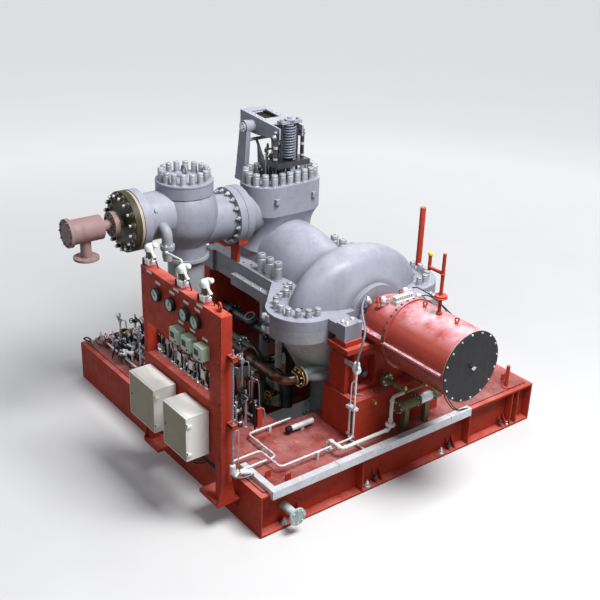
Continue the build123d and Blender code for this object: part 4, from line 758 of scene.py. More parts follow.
def lever_pins():
    """The nuts of the lever's pins and feet, the stay rods with their webs, the window's screws and plate."""
    nuts = Shape("link_nuts", "bright_steel", "crosshead")
    pins = Shape("lever_pin_nuts", "bright_steel")
    stays = Shape("post_stay_rods", "casing_grey")
    stays.tube([(-0.86, -0.245, 3.09), (-0.86, 0.245, 3.09)], 0.02, 12)
    for y in (-0.15, -0.05, 0.05, 0.15):
        pins.bolt((-0.93, y, bracket_foot), UP, 0.016)
    for side in SIDES:
        nuts.bolt((link_x, side * 0.199, 3.235), FAR * side, 0.021)
        nuts.cap((link_x, side * 0.187, 3.27), UP, 0.02, 0.02, 0.026, 0.012)
        nuts.disc((link_x, side * 0.187, 3.095), UP, 0.027, 0.03)
        nuts.disc((link_x, side * 0.187, 2.965), UP, 0.027, 0.025)
        pin_end = (lever_x, side * 0.316, lever_z)
        pins.cap(pin_end, FAR * side, 0.03, 0.006, 0.009, 0.024)
        pins.bolts_round(pin_end, FAR * side, 4, 0.044, 0.006, 45, 0)
        pins.bolt((-0.92, side * 0.27, bracket_foot), UP, 0.016)
        post = side * 0.106
        foot = Vector((-0.592, post, chest_top))
        stays.tube([(-0.862, post, 3.085), foot], 0.016, 10)
        web = [(-0.85, post, 3.07), (-0.82, post, chest_top), (-0.60, post, chest_top)]
        stays.hull([*web, *[(x, y - side * 0.010, z) for x, y, z in web]])
        stays.cap(foot - UP * 0.002, UP, 0.03, 0.014, 0.03, 0.018, 12)
    screws = Shape("lever_window_screws", "bright_steel", "lever")
    for x in (-0.98, -0.845, -0.71):
        for side in SIDES:
            screws.bolt(on_top(x, side * 0.128, 3.6), UP, 0.009, stud=0)
    back, front = [on_top(x, 0.128, 3.6).z - 0.05 for x in (-0.98, -0.71)]
    ends = ((-1.06, back), (-0.62, front))
    screen = Shape("lever_inner_plate", "olive_steel", "lever")
    screen.hull([(x, y, z - drop) for x, z in ends for y in (-0.165, 0.165) for drop in (0, 0.008)])
    for step in range(7):
        y = -0.12 + 0.04 * step
        screen.tube([(-1.04, y, back + 0.004), (-0.64, y, front + 0.004)], 0.006, 6)
    make(nuts, pins, stays, screws, screen)


def pilot_gear():
    """The pilot rods with their nuts and small wheels between the posts."""
    rods = Shape("pilot_rods", "dark_steel")
    nuts = Shape("pilot_nuts", "bright_steel")
    for x, y, height in (
        (-0.60, -0.13, 3.10), (-0.56, 0.13, 3.08), (-0.64, 0.05, 3.00), (-0.56, -0.06, 2.98),
    ):
        rods.tube([(x, y, chest_top), (x, y, height)], 0.009)
        rods.neck((x, y, chest_top), UP, 0.024, 0.02, 0.016, 0.05)
        rods.cap((x, y, height - 0.05), UP, 0.018, 0.03, 0.034, 0.012)
    rods.tube([(-0.60, -0.13, 3.03), (-0.56, 0.13, 3.03)], 0.012)
    rods.tube([(-0.64, 0.05, 2.95), (-0.56, -0.06, 2.95)], 0.010)
    for index in range(11):
        x = -0.66 + 0.02 * ((index * 3) % 7)
        y = -0.19 + 0.038 * index
        height = 2.80 + 0.045 * ((index * 5) % 6)
        (nuts if index % 3 == 1 else rods).tube([(x, y, chest_top), (x, y, height)], 0.0085)
        rods.box((x - 0.018, y - 0.016, height - 0.03), (x + 0.03, y + 0.016, height + 0.012), 0.004)
        nuts.cap((x, y, height + 0.012), UP, 0.015, 0.016, 0.02, 0.008)
        nuts.cap((x + 0.03, y, height - 0.01), (1, -0.3, 0), 0.01, 0.014, 0.018, 0.006)
        if index % 2:
            rods.tube([(x, y, height - 0.05), (x + 0.05, y - 0.04, height - 0.12)], 0.007, 6)
            nuts.ring((x + 0.02, y - 0.02, height - 0.06), (0.8, -0.6, 0), 0.02, 0.004, 6, 14)
    make(nuts, rods)


# Bearing, guard and pedestal


def guard_details():
    """The coupling guard's screws, clips, gasket and lifting eyes, the bearing's plug, the breather's cap."""
    screws = Shape("guard_screws", "bright_steel")
    screws.bolts_round((2.6635, 0, shaft), DRIVE, 16, 0.357, 0.0085, 6, 0)
    for y, z in circle(36, 0.3805, 5):
        screws.cap((1.7995, y, shaft + z), DRIVE, 0.0075, 0.007, 0.009, 0.005)
    screws.lathe((2.69, 0, shaft), DRIVE, [
        (0, 0.013), (0.006, 0.013), (0.008, 0.022), (0.014, 0.022), (0.016, 0.012)], 10)
    screws.tube([(2.698, -0.03, shaft), (2.698, 0.03, shaft)], 0.006, 6)
    housing_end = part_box("governor_bearing_housing")[0].x
    screws.bolts_round((housing_end, 0, shaft), GOVERNOR, 12, 0.245, 0.014, 15)
    gaskets = Shape("guard_gaskets", "spacer_steel")
    gaskets.lathe((2.6445, 0, shaft), DRIVE, [(0, 0.371), (0.001, 0.3775), (0.007, 0.3775)], 72)
    for side in SIDES:
        for step in range(14):
            screws.bolt((1.83 + 0.06 * step, side * 0.39, 1.6638), UP, 0.0065, stud=0)
        gaskets.box((1.80, side * 0.404, 1.6455), (2.632, side * 0.4095, 1.6545), 0.0005)
    clips = Shape("seam_clips", "dark_steel")
    middle = Vector((1.79, 0, shaft))
    for step in range(30):
        angle = radians(12 * step + 4)
        out = Vector((0, cos(angle), sin(angle)))
        along = Vector((0, -sin(angle), cos(angle))) * 0.011
        clips.hull([middle + out * r + along * a + DRIVE * x
                    for r in (0.385, 0.3935) for a in SIDES for x in (-0.013, 0.0135)])
    eyes = Shape("guard_eyes_and_plug_rim", "skid_red")
    for x, y in ((1.971, 0.0), (2.415, 0.0), (1.45, -0.16), (1.45, 0.16)):
        place = on_top(x, y)
        eyes.lathe(place, UP, [(-0.004, 0.02), (0.012, 0.02), (0.014, 0.012), (0.022, 0.011)], 10)
        eyes.ring(place + UP * 0.04, (0.8, -0.6, 0), 0.02, 0.008)
    angle = radians(128)
    out = Vector((0, cos(angle), sin(angle)))
    boss = Vector((1.53, 0, shaft)) + out * 0.35
    eyes.lathe(boss - out * 0.004, out, [
        (0, 0.038), (0.008, 0.038), (0.010, 0.034), (0.010, 0.022), (0.002, 0.02)], 24)
    plug = Shape("bearing_plug", "brass").cap(boss, out, 0.019, 0.006, 0.012, 0.011)
    cap = Shape("breather_cap", "cap_yellow")
    cap.lathe((1.98, 0, 2.588), UP, [(0, 0.025), (0.022, 0.026), (0.028, 0.023), (0.034, 0.012)])
    beads = Shape("breather_beads", "skid_red")
    beads.ring((2.17, 0, 2.205), UP, 0.064, 0.008)
    beads.ring((2.17, 0, 2.452), UP, 0.019, 0.008)
    make(screws, gaskets, clips, eyes, plug, cap, beads)


def bearing_instruments():
    """The terminal block, probe heads and cables on the exhaust-end bearing."""
    white = Shape("bearing_terminal_block", "instrument_white")
    steel = Shape("bearing_probe_nuts", "bright_steel")
    dark = Shape("bearing_cables", "rubber_black")
    base = on_top(1.64, 0.02).z
    white.box((1.615, -0.135, base - 0.03), (1.70, 0.115, base + 0.018), 0.004)
    for step in range(8):
        y = -0.12 + step * 0.031
        white.box((1.625, y - 0.011, base + 0.014), (1.69, y + 0.011, base + 0.062), 0.005)
        dark.box((1.638, y + 0.0115, base + 0.018), (1.677, y + 0.0195, base + 0.045), 0.001)
        steel.disc((1.657, y, base + 0.060), UP, 0.006, 0.006, 8)
    for x, y in ((1.53, 0.14), (1.56, -0.19), (1.70, 0.17)):
        place = on_top(x, y)
        steel.lathe(place, UP, [(-0.01, 0.024), (0.02, 0.024), (0.022, 0.015), (0.035, 0.015)], 6)
        white.lathe(place, UP, [
            (0.03, 0.022), (0.036, 0.028), (0.075, 0.028), (0.085, 0.022), (0.092, 0.01)], 14)
        steel.lathe(place + UP * 0.058, (0.7, 0.7, 0.1), [
            (0.02, 0.012), (0.05, 0.012), (0.052, 0.016), (0.066, 0.016)], 6)
    probe = Vector((1.325, -0.155, 1.84))
    out = Vector((0.12, -0.62, 0.78)).normalized()
    steel.neck(probe - out * 0.03, out, 0.03, 0.05, 0.02, 0.09)
    white.lathe(probe + out * 0.05, out, [(0, 0.034), (0.05, 0.034), (0.06, 0.026), (0.075, 0.024)], 14)
    route = [
        probe + out * 0.12, probe + out * 0.17 + Vector((0.03, -0.01, 0)), (1.52, -0.44, 1.955),
        (1.64, -0.53, 1.915), (1.76, -0.60, 1.85), (1.80, -0.645, 1.76), (1.775, -0.66, 1.62),
        (1.752, -0.665, 1.50), (1.75, -0.665, 1.37),
    ]
    conduit = Shape("probe_conduit", "hose_grey").hose(route, 0.0115, 10)
    line = smooth(route, 14)
    for point, after in list(zip(line, line[1:]))[::2]:
        conduit.lathe(point, after - point, [(0, 0.0118), (0.0025, 0.0135), (0.005, 0.0118)], 10)
    for start, middle, end in (
        ((1.745, 0.17, 2.02), (1.93, 0.235, 2.0), (2.12, 0.34, 1.83)),
        ((1.60, 0.17, 2.05), (1.84, 0.30, 1.97), (2.05, 0.375, 1.78)),
    ):
        leaving = Vector(start) + Vector((0.07, 0.03, 0.012))
        dark.hose([start, leaving, middle, end, (end[0] + 0.06, 0.40, 1.70)], 0.0065)
    dark.hose([
        (2.05, 0.385, 1.62), (2.06, 0.33, 1.37), (2.02, 0.33, 1.15), (1.98, 0.42, 0.85),
        (1.965, 0.62, 0.60), (1.965, 0.80, 0.552)], 0.0065)
    dark.hose([
        (2.11, 0.385, 1.62), (2.12, 0.34, 1.37), (2.06, 0.35, 1.12), (2.00, 0.46, 0.82),
        (1.975, 0.66, 0.59), (1.975, 0.84, 0.552)], 0.0065)
    make(white, steel, conduit, dark)


def pedestal_details():
    """The transmitter, the recess's instrument and the small fittings on the pedestal."""
    white = Shape("pedestal_transmitter", "instrument_white")
    white.lathe(transmitter, UP, [
        (0, 0.014), (0.02, 0.016), (0.035, 0.03), (0.06, 0.044), (0.085, 0.046), (0.11, 0.036),
        (0.135, 0.034), (0.15, 0.028)])
    white.lathe(transmitter + UP * 0.075, (1, -0.5, 0.1), [(0, 0.036), (0.052, 0.038), (0.058, 0.034)])
    steel = Shape("pedestal_tubes", "bright_steel")
    steel.box((1.49, -0.612, 1.345), (1.70, -0.60, 1.405))
    steel.neck((1.75, -0.665, 1.345), UP, 0.017, 0.03, 0.014, 0.05)
    steel.pipe([
        transmitter + UP * 0.002, transmitter - UP * 0.06, (1.66, -0.64, 1.20), (1.66, -0.645, 0.95)],
        0.02, 0.008)
    for height in (0.925, 0.60):
        steel.box((1.642, -0.672, height - 0.012), (1.768, -0.655, height + 0.012))
        for x in (1.66, 1.75):
            steel.ring((x, -0.657, height), UP, 0.0135, 0.004, 6, 12)
    tube_end_pixels = ((354, 387), (371, 389))
    first, last = [seen(*pixel)[0] for pixel in tube_end_pixels]
    out = Vector((0.05, -0.03, 0))
    drop = UP * 0.05
    steel.pipe([first, first + out, first + out - drop, last + out - drop, last + out, last], 0.03, 0.008)
    dark = Shape("recess_instrument", "dark_steel")
    dark.lathe((1.47, -0.37, 1.12), (0, -0.2, 1), [
        (0, 0.03), (0.02, 0.045), (0.09, 0.045), (0.11, 0.03), (0.17, 0.022)])
    dark.lathe((1.45, -0.37, 1.17), DRIVE, [(0, 0.02), (0.08, 0.02), (0.085, 0.035), (0.105, 0.035)], 12)
    red = Shape("pedestal_bosses", "skid_red")
    red.neck((1.699, -0.36, 0.90), DRIVE, 0.04, 0.012, 0.026, 0.035, 20)
    red.lathe((1.575, 0.40, 0.97), UP, [(0, 0.05), (0.016, 0.05), (0.018, 0.03)], 20)
    for x in (1.22, 1.64):
        for side in SIDES:
            red.cap((x, side * 0.575, 0.968), UP, 0.03, 0.02, 0.03, 0.022)
    plug = Shape("pedestal_plug", "brass").cap((1.73, -0.36, 0.90), DRIVE, 0.018, 0.014, 0.016, 0.01)
    make(white, steel, dark, red, plug)


# Pipes on the deck


def pipe_fittings():
    """The rings, sleeves, bolts, brass unions and couplings of the pipes and conduits on the deck."""
    gold = Shape("leak_off_weld_rings", "gold_ring")
    gold.ring((0.98, -0.812, 1.0), FAR, 0.108, 0.006, 8, 40)
    gold.ring((0.98, -0.862, 1.0), FAR, 0.063, 0.006, 8, 32)
    steel = Shape("pipe_flange_bolts", "bright_steel")
    steel.bolts_round((0.98, -0.829, 1.0), NEAR, 8, 0.088, 0.010, 22)
    steel.bolts_round((1.68, -0.93, 0.5135), UP, 4, 0.034, 0.006, 45)
    steel.bolts_round((1.89, -0.27, 0.699), UP, 4, 0.034 * 1.1, 0.006, 45)
    low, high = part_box("drain_stub")
    middle = (low + high) / 2
    steel.bolts_round((high.x, middle.y, middle.z), DRIVE, 8, 0.076, 0.009)
    for y in (-0.13, 0.138, 0.368):
        steel.bolts_round((1.83, y, 0.81), NEAR, 8, 0.0625, 0.0055, 10, 0)
    steel.bolts_round((1.68, -0.15, 1.085), DRIVE, 6, 0.058, 0.008)
    steel.lathe((1.83, 0.185, 0.81), FAR, [(0, 0.0585), (0.004, 0.0605), (0.16, 0.0605), (0.164, 0.0585)], 32)
    white = Shape("oil_pipe_sleeves", "pipe_white")
    for place, run in (
        ((1.68, -0.93, 0.585), UP), ((1.725, -0.93, 0.63), DRIVE), ((1.845, -0.93, 0.63), GOVERNOR),
        ((1.89, -0.885, 0.63), FAR), ((1.89, -0.315, 0.63), NEAR), ((1.89, -0.27, 0.745), UP),
        ((1.89, -0.27, 0.975), DOWN),
    ):
        white.lathe(place, run, [(-0.012, 0.023), (-0.008, 0.026), (0.012, 0.026), (0.016, 0.022)])
    white.ring((1.89, -0.27, 0.687), UP, 0.05, 0.006, 8, 28)
    brass = Shape("oil_pipe_brass", "brass")
    brass.neck((1.885, -0.084, 1.045), UP, 0.018, 0.02, 0.012, 0.04)
    for way in (FAR, DRIVE):
        brass.cap((1.89, 0.20, 1.02), way, 0.018, 0.02, 0.026, 0.012)
    probe = Shape("probe_end", "rubber_black")
    probe.lathe((1.205, -1.062, 0.56), NEAR, [
        (0, 0.033), (0.01, 0.035), (0.05, 0.035), (0.06, 0.026), (0.062, 0.012)], 18)
    clips = Shape("conduit_couplings", "tray_zinc")
    low_run, high_run = 0.564, 0.592
    for x, y, z, run in (
        (1.04, -1.1, low_run, FAR), (1.04, -1.4, low_run, FAR), (1.2, -1.5, low_run, DRIVE),
        (1.45, -1.5, low_run, DRIVE), (1.54, -1.7, low_run, FAR), (1.5, -1.6, high_run, DRIVE),
        (1.65, -1.6, high_run, DRIVE), (1.75, -1.3, high_run, FAR), (1.75, -0.9, high_run, FAR),
    ):
        clips.lathe((x, y, z), run, [(-0.014, 0.0125), (-0.012, 0.016), (0.012, 0.016), (0.014, 0.0125)], 12)
    for x, z in ((1.54, low_run), (1.40, high_run)):
        clips.pipe([(x, -1.92, z), (x, -2.062, z), (x, -2.062, 1.35)], 0.05, 0.0115, 10)
        clips.lathe((x, -1.955, z), NEAR, [(0, 0.02), (0.03, 0.02), (0.034, 0.016), (0.05, 0.016)], 6)
        clips.block(x, -2.065, 0.90, 0.93, 0.03, 0.019)
    make(gold, steel, white, brass, probe, clips)


def deck_details():
    """The tray's screws and joints, the anchor and jack bolts, gussets and pad eyes of the skid."""
    steel = Shape("deck_screws_and_anchors", "bright_steel")
    dark = Shape("jack_bolts_and_tray_joints", "dark_steel")
    red = Shape("skid_gussets_and_pads", "skid_red")
    screws = [(x, -1.75 + step * 0.255) for step in range(11) for x in (1.958, 1.996)]
    screws += [(x, y) for x in (1.48, 1.66, 1.84) for y in (-1.86, -1.81)]
    for x, y in screws:
        steel.cap((x, y, 0.5475), UP, 0.0055, 0.003, 0.004, 0.003, 8)
    for y in (-1.05, -0.2, 0.55):
        dark.box((1.9285, y - 0.002, 0.4995), (2.0045, y + 0.002, 0.5487), 0.0002)
    flange_top = 0.024
    for side in SIDES:
        x = side * 1.9
        for y in (-1.65, -0.55, 0.55, 1.65):
            steel.cap((x, y, flange_top), UP, 0.046, 0.012, 0.014, 0.044, 20)
            steel.bolt((x, y, 0.036), UP, 0.027, stud=1.0)
        for y in (-1.53, -0.43, 0.67, 1.53):
            dark.cap((x, y, flange_top), UP, 0.018, 0.09, 0.095, 0.014, 12)
            dark.disc((x, y, 0.07), UP, 0.03, 0.02)
        for y in (-1.49, -0.39, 0.71, 1.57):
            for gusset in (y - 0.05, y + 0.03):
                corners = ((1.85, flange_top), (1.94, flange_top), (1.85, 0.17))
                red.hull([(side * out, gusset + thick, z) for thick in (0, 0.012) for out, z in corners])
    for x, y in ((1.713, -1.724), (1.866, -1.59), (-1.7, -1.72), (-1.7, 1.72), (1.7, 1.72)):
        red.block(x, y, deck, 0.585, 0.006, 0.035, 0.003)
    red.lathe((1.84, 1.62, 0.5), UP, [
        (0, 0.05), (0.012, 0.05), (0.014, 0.022), (0.28, 0.022), (0.285, 0.018)])
    for x, y in ((1.55, 1.2), (0.2, 1.55), (-0.9, -1.5), (-0.9, 1.5), (0.4, -1.45)):
        red.block(x, y, 0.4995, 0.508, 0.06, 0.04)
    for x, y in ((1.25, -1.30), (1.38, -1.12), (1.22, -1.66)):
        red.block(x, y, 0.4995, 0.506, 0.03, 0.02)
    make(steel, dark, red)


# Gauge panel


def gauges():
    """The dial gauges: case, bezel, face with its marks, and pointer."""
    case = Shape("gauge_cases", "rubber_black", replaces=["pressure_gauges"])
    faces = Shape("gauge_faces", "dial_face")
    marks = Shape("gauge_marks", "rubber_black")
    for index, (low, high) in enumerate(islands("pressure_gauges")):
        x = (low.x + high.x) / 2
        z = (low.z + high.z) / 2
        case.lathe((x, board, z), NEAR, [
            (0, 0.066), (0.006, 0.070), (0.030, 0.070), (0.034, 0.0745), (0.046, 0.0745), (0.050, 0.071),
            (0.050, 0.062), (0.043, 0.060)], 40)
        faces.lathe((x, board, z), NEAR, [(0.042, 0.0605), (0.0445, 0.0605)], 40)
        dial = Vector((x, -2.2453, z))
        for step in range(11):
            angle = radians(225 - 27 * step)
            out = Vector((cos(angle), 0, sin(angle)))
            marks.tube([dial + out * (0.043 if step % 5 == 0 else 0.048), dial + out * 0.056], 0.0014, 4)
        angle = radians((140, 75, 160, 110)[index % 4])
        out = Vector((cos(angle), 0, sin(angle)))
        dial.y = -2.2465
        marks.tube([dial - out * 0.014, dial + out * 0.046], 0.002, 5)
        marks.lathe((x, -2.2445, z), NEAR, [(0, 0.007), (0.004, 0.006)], 12)
    make(case, faces, marks)


def panel_tags():
    """The plain tag plates, slots and glands on the board and its boxes."""
    tags = Shape("panel_tags", "cream_paint")
    dark = Shape("panel_slots_and_leads", "rubber_black")
    trim = Shape("signal_box_lids", "box_green")
    boxes = (0.90, 1.11, 1.33)
    lead = ((0, -2.245, 1.79), (0.01, -2.24, 1.72), (0.02, -2.16, 1.66), (0.02, -2.09, 1.62))
    for places, z, half_x, half_z in (
        ((0.47, 0.74, 1.00, 1.20), 2.2585, 0.045, 0.0135), ((0.30, 0.82, 1.24), 2.3175, 0.05, 0.0125),
        (boxes, 2.0085, 0.045, 0.0135),
    ):
        for x in places:
            tags.plate(x, z, half_x, half_z, -2.2035, -2.1995)
    for x in boxes:
        tags.box((x - 0.035, -2.232, 1.60), (x + 0.03, -2.2285, 1.69), 0.0008)
        tags.tube([(x, -2.2303, 1.685), (x, -2.235, 1.82)], 0.002, 5)
        trim.plate(x, 1.89, 0.066, 0.062, -2.297, -2.289, 0.004)
        dark.box((x - 0.046, -2.2985, 1.868), (x + 0.028, -2.2965, 1.93), 0.0008)
        dark.cap((x + 0.048, -2.297, 1.85), NEAR, 0.009, 0.008, 0.009, 0.006, 12)
        dark.neck((x, -2.245, 1.816), DOWN, 0.016, 0.016, 0.011, 0.03)
        dark.hose([(x + aside, y, z) for aside, y, z in lead], 0.007)
    for low, high in (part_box("junction_box_1"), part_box("junction_box_2")):
        middle = (low.x + high.x) / 2
        for offset in (-0.12, 0, 0.12):
            dark.neck((middle + offset, -2.33, low.z + 0.001), DOWN, 0.022, 0.018, 0.014, 0.036)
            dark.hose([(middle + offset * part, y, low.z - drop) for part, y, drop in (
                (1, -2.33, 0.03), (0.8, -2.32, 0.12), (0.5, -2.22, 0.19), (0.4, -2.13, 0.20))], 0.008)
    dark.tube([(0.30, lower_board, 0.585), (1.45, lower_board, 0.585)], 0.02)
    make(tags, trim, dark)


def door_furniture():
    """The rolled rim and lock of each junction box door, and the lid over its box."""
    for number in (1, 2):
        low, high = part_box(f"junction_box_{number}_door")
        front = low.y
        left, side = low.x + 0.006, high.x - 0.024
        bottom, top = low.z + 0.006, high.z - 0.006
        rim = Shape(f"junction_box_{number}_door_rim", "cream_paint", f"door_{number}")
        for x in (left, side):
            rim.tube([(x, front + 0.004, bottom), (x, front + 0.004, top)], 0.0055)
        for z in (bottom, top):
            rim.tube([(left, front + 0.004, z), (side, front + 0.004, z)], 0.0055)
        lock = Shape(f"junction_box_{number}_lock", "dark_steel", f"door_{number}")
        lock.lathe((low.x + 0.045, front + 0.001, (low.z + high.z) / 2), NEAR, [
            (0, 0.013), (0.004, 0.013), (0.006, 0.009), (0.006, 0.005), (0.003, 0.004)])
        shell_low, shell_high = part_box(f"junction_box_{number}")
        rain = Shape(f"junction_box_{number}_rain_lid", "cream_paint")
        lid_low = (shell_low.x - 0.003, -2.444, shell_high.z - 0.002)
        rain.box(lid_low, (high.x - 0.015, -2.21, shell_high.z + 0.003), 0.001)
        make(rim, lock, rain)


def pressure_switches():
    """The switch clusters behind the top of the panel, on their brackets, with their leads."""
    white = Shape("switch_heads", "instrument_white", replaces=["pressure_switches"])
    steel = Shape("switch_blocks", "bright_steel")
    olive = Shape("switch_bodies", "pipe_olive")
    red = Shape("switch_brackets", "skid_red")
    dark = Shape("switch_leads", "rubber_black")
    lead = ((0.105, 0, 0.108), (0.123, 0.005, 0.078), (0.12, 0.03, -0.012), (0.115, 0.05, -0.192))
    for low, high in islands("pressure_switches"):
        foot = Vector(((low.x + high.x) / 2, (low.y + high.y) / 2, low.z))

        def at(x, y, z):
            return foot + Vector((x, y, z))

        red.box(at(-0.055, -0.05, -0.004), at(0.055, 0.055, 0.006))
        red.box(at(-0.055, -0.055, 0.004), at(-0.047, 0.055, 0.075))
        steel.box(at(-0.045, -0.04, 0.006), at(0.05, 0.045, 0.06), 0.006)
        steel.lathe(at(0, 0, 0.06), UP, [(0, 0.052), (0.004, 0.056), (0.018, 0.056), (0.022, 0.052)], 24)
        steel.bolts_round(at(0, 0, 0.081), UP, 6, 0.044, 0.007, stud=0.6)
        olive.lathe(at(0, 0, 0.08), UP, [(0, 0.03), (0.01, 0.036), (0.06, 0.036), (0.07, 0.028)], 18)
        white.lathe(at(0, 0, 0.148), UP, [
            (0, 0.034), (0.006, 0.048), (0.05, 0.048), (0.066, 0.04), (0.078, 0.024), (0.082, 0.01)], 20)
        white.cap(at(-0.02, 0.03, 0.20), (0.9, 0.25, 0.22), 0.028, 0.07, 0.08, 0.02, 14)
        white.lathe(at(0.03, 0, 0.17), (0.75, 0, -0.62), [
            (0, 0.016), (0.075, 0.016), (0.078, 0.02), (0.10, 0.02)], 12)
        dark.hose([at(*point) for point in lead], 0.0065)
        steel.pipe([at(-0.03, 0.06, -0.25), at(-0.03, 0.06, 0.10), at(-0.03, 0.02, 0.10)], 0.02, 0.006, 6)
    make(white, steel, olive, red, dark)


def panel_fittings():
    """The lifting eye, arms, side conduit, board screws and the bent sensing tube of the panel."""
    red = Shape("panel_eye_and_arms", "skid_red")
    red.cap((1.474, lower_board, 2.339), UP, 0.03, 0.012, 0.016, 0.018, 16)
    red.ring((1.474, lower_board, 2.388), (0.25, 1, 0), 0.034, 0.011, 10, 24)
    for height in (1.945, 1.221):
        for low in (height, height - 0.045):
            red.box((1.598, -2.14, low), (1.70, -2.08, low + 0.007))
        red.box((1.693, -2.14, height - 0.045), (1.70, -2.08, height + 0.007))
    grey = Shape("panel_side_conduit", "hose_grey")
    x, y = 1.66, -2.11
    grey.pipe([(x, y, 2.02), (x, y, 0.62), (x, -1.99, 0.56), (x, -1.86, 0.56)], 0.06, 0.009, 10)
    for height in (1.95, 1.226, 0.95):
        grey.lathe((x, y, height), UP, [(-0.014, 0.010), (-0.012, 0.015), (0.012, 0.015), (0.014, 0.010)], 12)
    for step in range(44):
        grey.lathe((x, y, 0.68 + 0.03 * step), UP, [(0, 0.0105), (0.005, 0.0125), (0.01, 0.0105)], 10)
    white = Shape("panel_foot_fittings", "pipe_white")
    white.lathe((x, y, 0.66), UP, [(0, 0.018), (0.01, 0.03), (0.10, 0.03), (0.11, 0.018)])
    white.lathe((1.60, -1.99, 0.60), (0.2, 0.9, -0.25), [
        (0, 0.022), (0.01, 0.028), (0.10, 0.028), (0.11, 0.02)])
    white.pipe([(x, y, 0.66), (x, -2.08, 0.61), (1.60, -2.0, 0.60)], 0.03, 0.014)
    tube = Shape("sensing_tube", "pipe_white")
    y = -2.12
    bends = ((0.70, 2.33), (0.70, 2.49), (0.80, 2.52), (0.80, 2.60), (0.52, 2.58))
    tube.pipe([(bend, y, height) for bend, height in bends], 0.03, 0.0105, 10)
    tube.cap((0.70, y, 2.339), UP, 0.018, 0.025, 0.028, 0.013)
    tube.cap((0.53, y, 2.5805), (-1, 0, -0.07), 0.016, 0.025, 0.03, 0.01)
    screws = Shape("panel_screws", "skid_red")
    for x in (0.17, 1.565):
        for z in (2.27, 2.05, 1.85, 1.42, 1.33, 0.82):
            screws.bolt((x, board, z), NEAR, 0.009, stud=0)
    for x in (0.35, 0.6, 0.85, 1.1, 1.35):
        screws.bolt((x, -2.15, 1.3795), UP, 0.008, stud=0)
    make(red, grey, white, tube, screws)


def panel_tubing():
    """The rails of small valves and the sensing tubes behind the panel's windows."""
    rails = Shape("tubing_rails", "skid_red")
    for height in (1.60, 1.28, 0.98):
        rails.box((0.135, -2.082, height - 0.02), (1.595, -2.072, height + 0.02))
    steel = Shape("sensing_tubes", "bright_steel")
    brass = Shape("valve_brass", "brass")
    dark = Shape("valve_wheels", "rubber_black")
    white = Shape("snubbers", "instrument_white")
    thin = 0.0048
    for index in range(15):
        x = 0.235 + 0.083 * index
        y = -2.045 + 0.006 * (index % 3)
        lean = 0.012 * ((index * 7) % 5 - 2)
        for z in (1.60, 1.28):
            steel.box((x - 0.02, -2.072, z - 0.025), (x + 0.02, y + 0.018, z + 0.025), 0.004)
            steel.neck((x, y, z + 0.02), UP, 0.014, 0.02, 0.009, 0.05)
            steel.neck((x, y, z - 0.02), DOWN, 0.014, 0.02, 0.009, 0.04)
            steel.neck((x, y + 0.015, z), FAR, 0.011, 0.03, 0.006, 0.055, 8)
            wheel = dark if (index + int(z * 10)) % 3 else brass
            wheel.ring((x, y + 0.068, z), FAR, 0.020, 0.0045, 6, 14)
            wheel.tube([(x - 0.02, y + 0.068, z), (x + 0.02, y + 0.068, z)], 0.003, 5)
        top = 1.78 + 0.05 * (index % 4)
        aside = x + lean * 3
        steel.pipe([
            (x, y, 1.64), (x, y, top - 0.03), (aside, y - 0.03, top + 0.04), (aside, -2.10, top + 0.16),
            (aside, -2.19, top + 0.16)], 0.03, thin, 6)
        steel.pipe([
            (x, y, 1.56), (x, y, 1.49), (x + lean, y + 0.01, 1.44), (x + lean, y + 0.01, 1.38),
            (x, y, 1.34), (x, y, 1.31)], 0.02, thin, 6)
        low = 1.08 - 0.05 * (index % 3)
        back = -1.93 + 0.03 * (index % 3)
        steel.pipe([
            (x, y, 1.25), (x, y, low), (x + lean, back, low - 0.04), (x + lean, back, 0.49)], 0.03, thin, 6)
        if index % 2:
            white.lathe((x + 0.05, -2.05, 1.50), UP, [
                (0, 0.012), (0.012, 0.024), (0.05, 0.024), (0.062, 0.012)], 12)
            steel.tube([(x + 0.05, -2.05, 1.28), (x + 0.05, -2.05, 1.50)], 0.005, 6)
        if index % 3 == 0:
            brass.neck((x + 0.045, -2.055, 1.38), UP, 0.012, 0.02, 0.008, 0.04)
            dark.hose([(x + 0.045, -2.055, 1.42), (x + 0.06, -2.03, 1.50), (x + 0.03, -2.04, 1.62),
                       (x + 0.05, -2.10, 1.72)], 0.006, 6)
    for height in (1.16, 1.205):
        steel.tube([(0.20, -2.04, height), (1.56, -2.04, height)], 0.006, 6)
    for index in range(20):
        x = 0.20 + 0.056 * index
        sway = 0.03 * (index % 3 - 1)
        top = 1.62 + 0.03 * (index % 4)
        dark.hose([
            (x, -1.985, top), (x + sway, -1.97, 1.45), (x - sway, -1.99, 1.25),
            (x + 0.05, -1.95, 1.05 - 0.04 * (index % 4)), (x + 0.02, -1.93, 0.80),
            (x - 0.02, -1.90, 0.505)], 0.0125)
        if index % 2:
            steel.lathe((x, -1.985, top), UP, [(-0.03, 0.016), (0.01, 0.016), (0.012, 0.02), (0.03, 0.02)], 6)
    make(rails, steel, brass, dark, white)


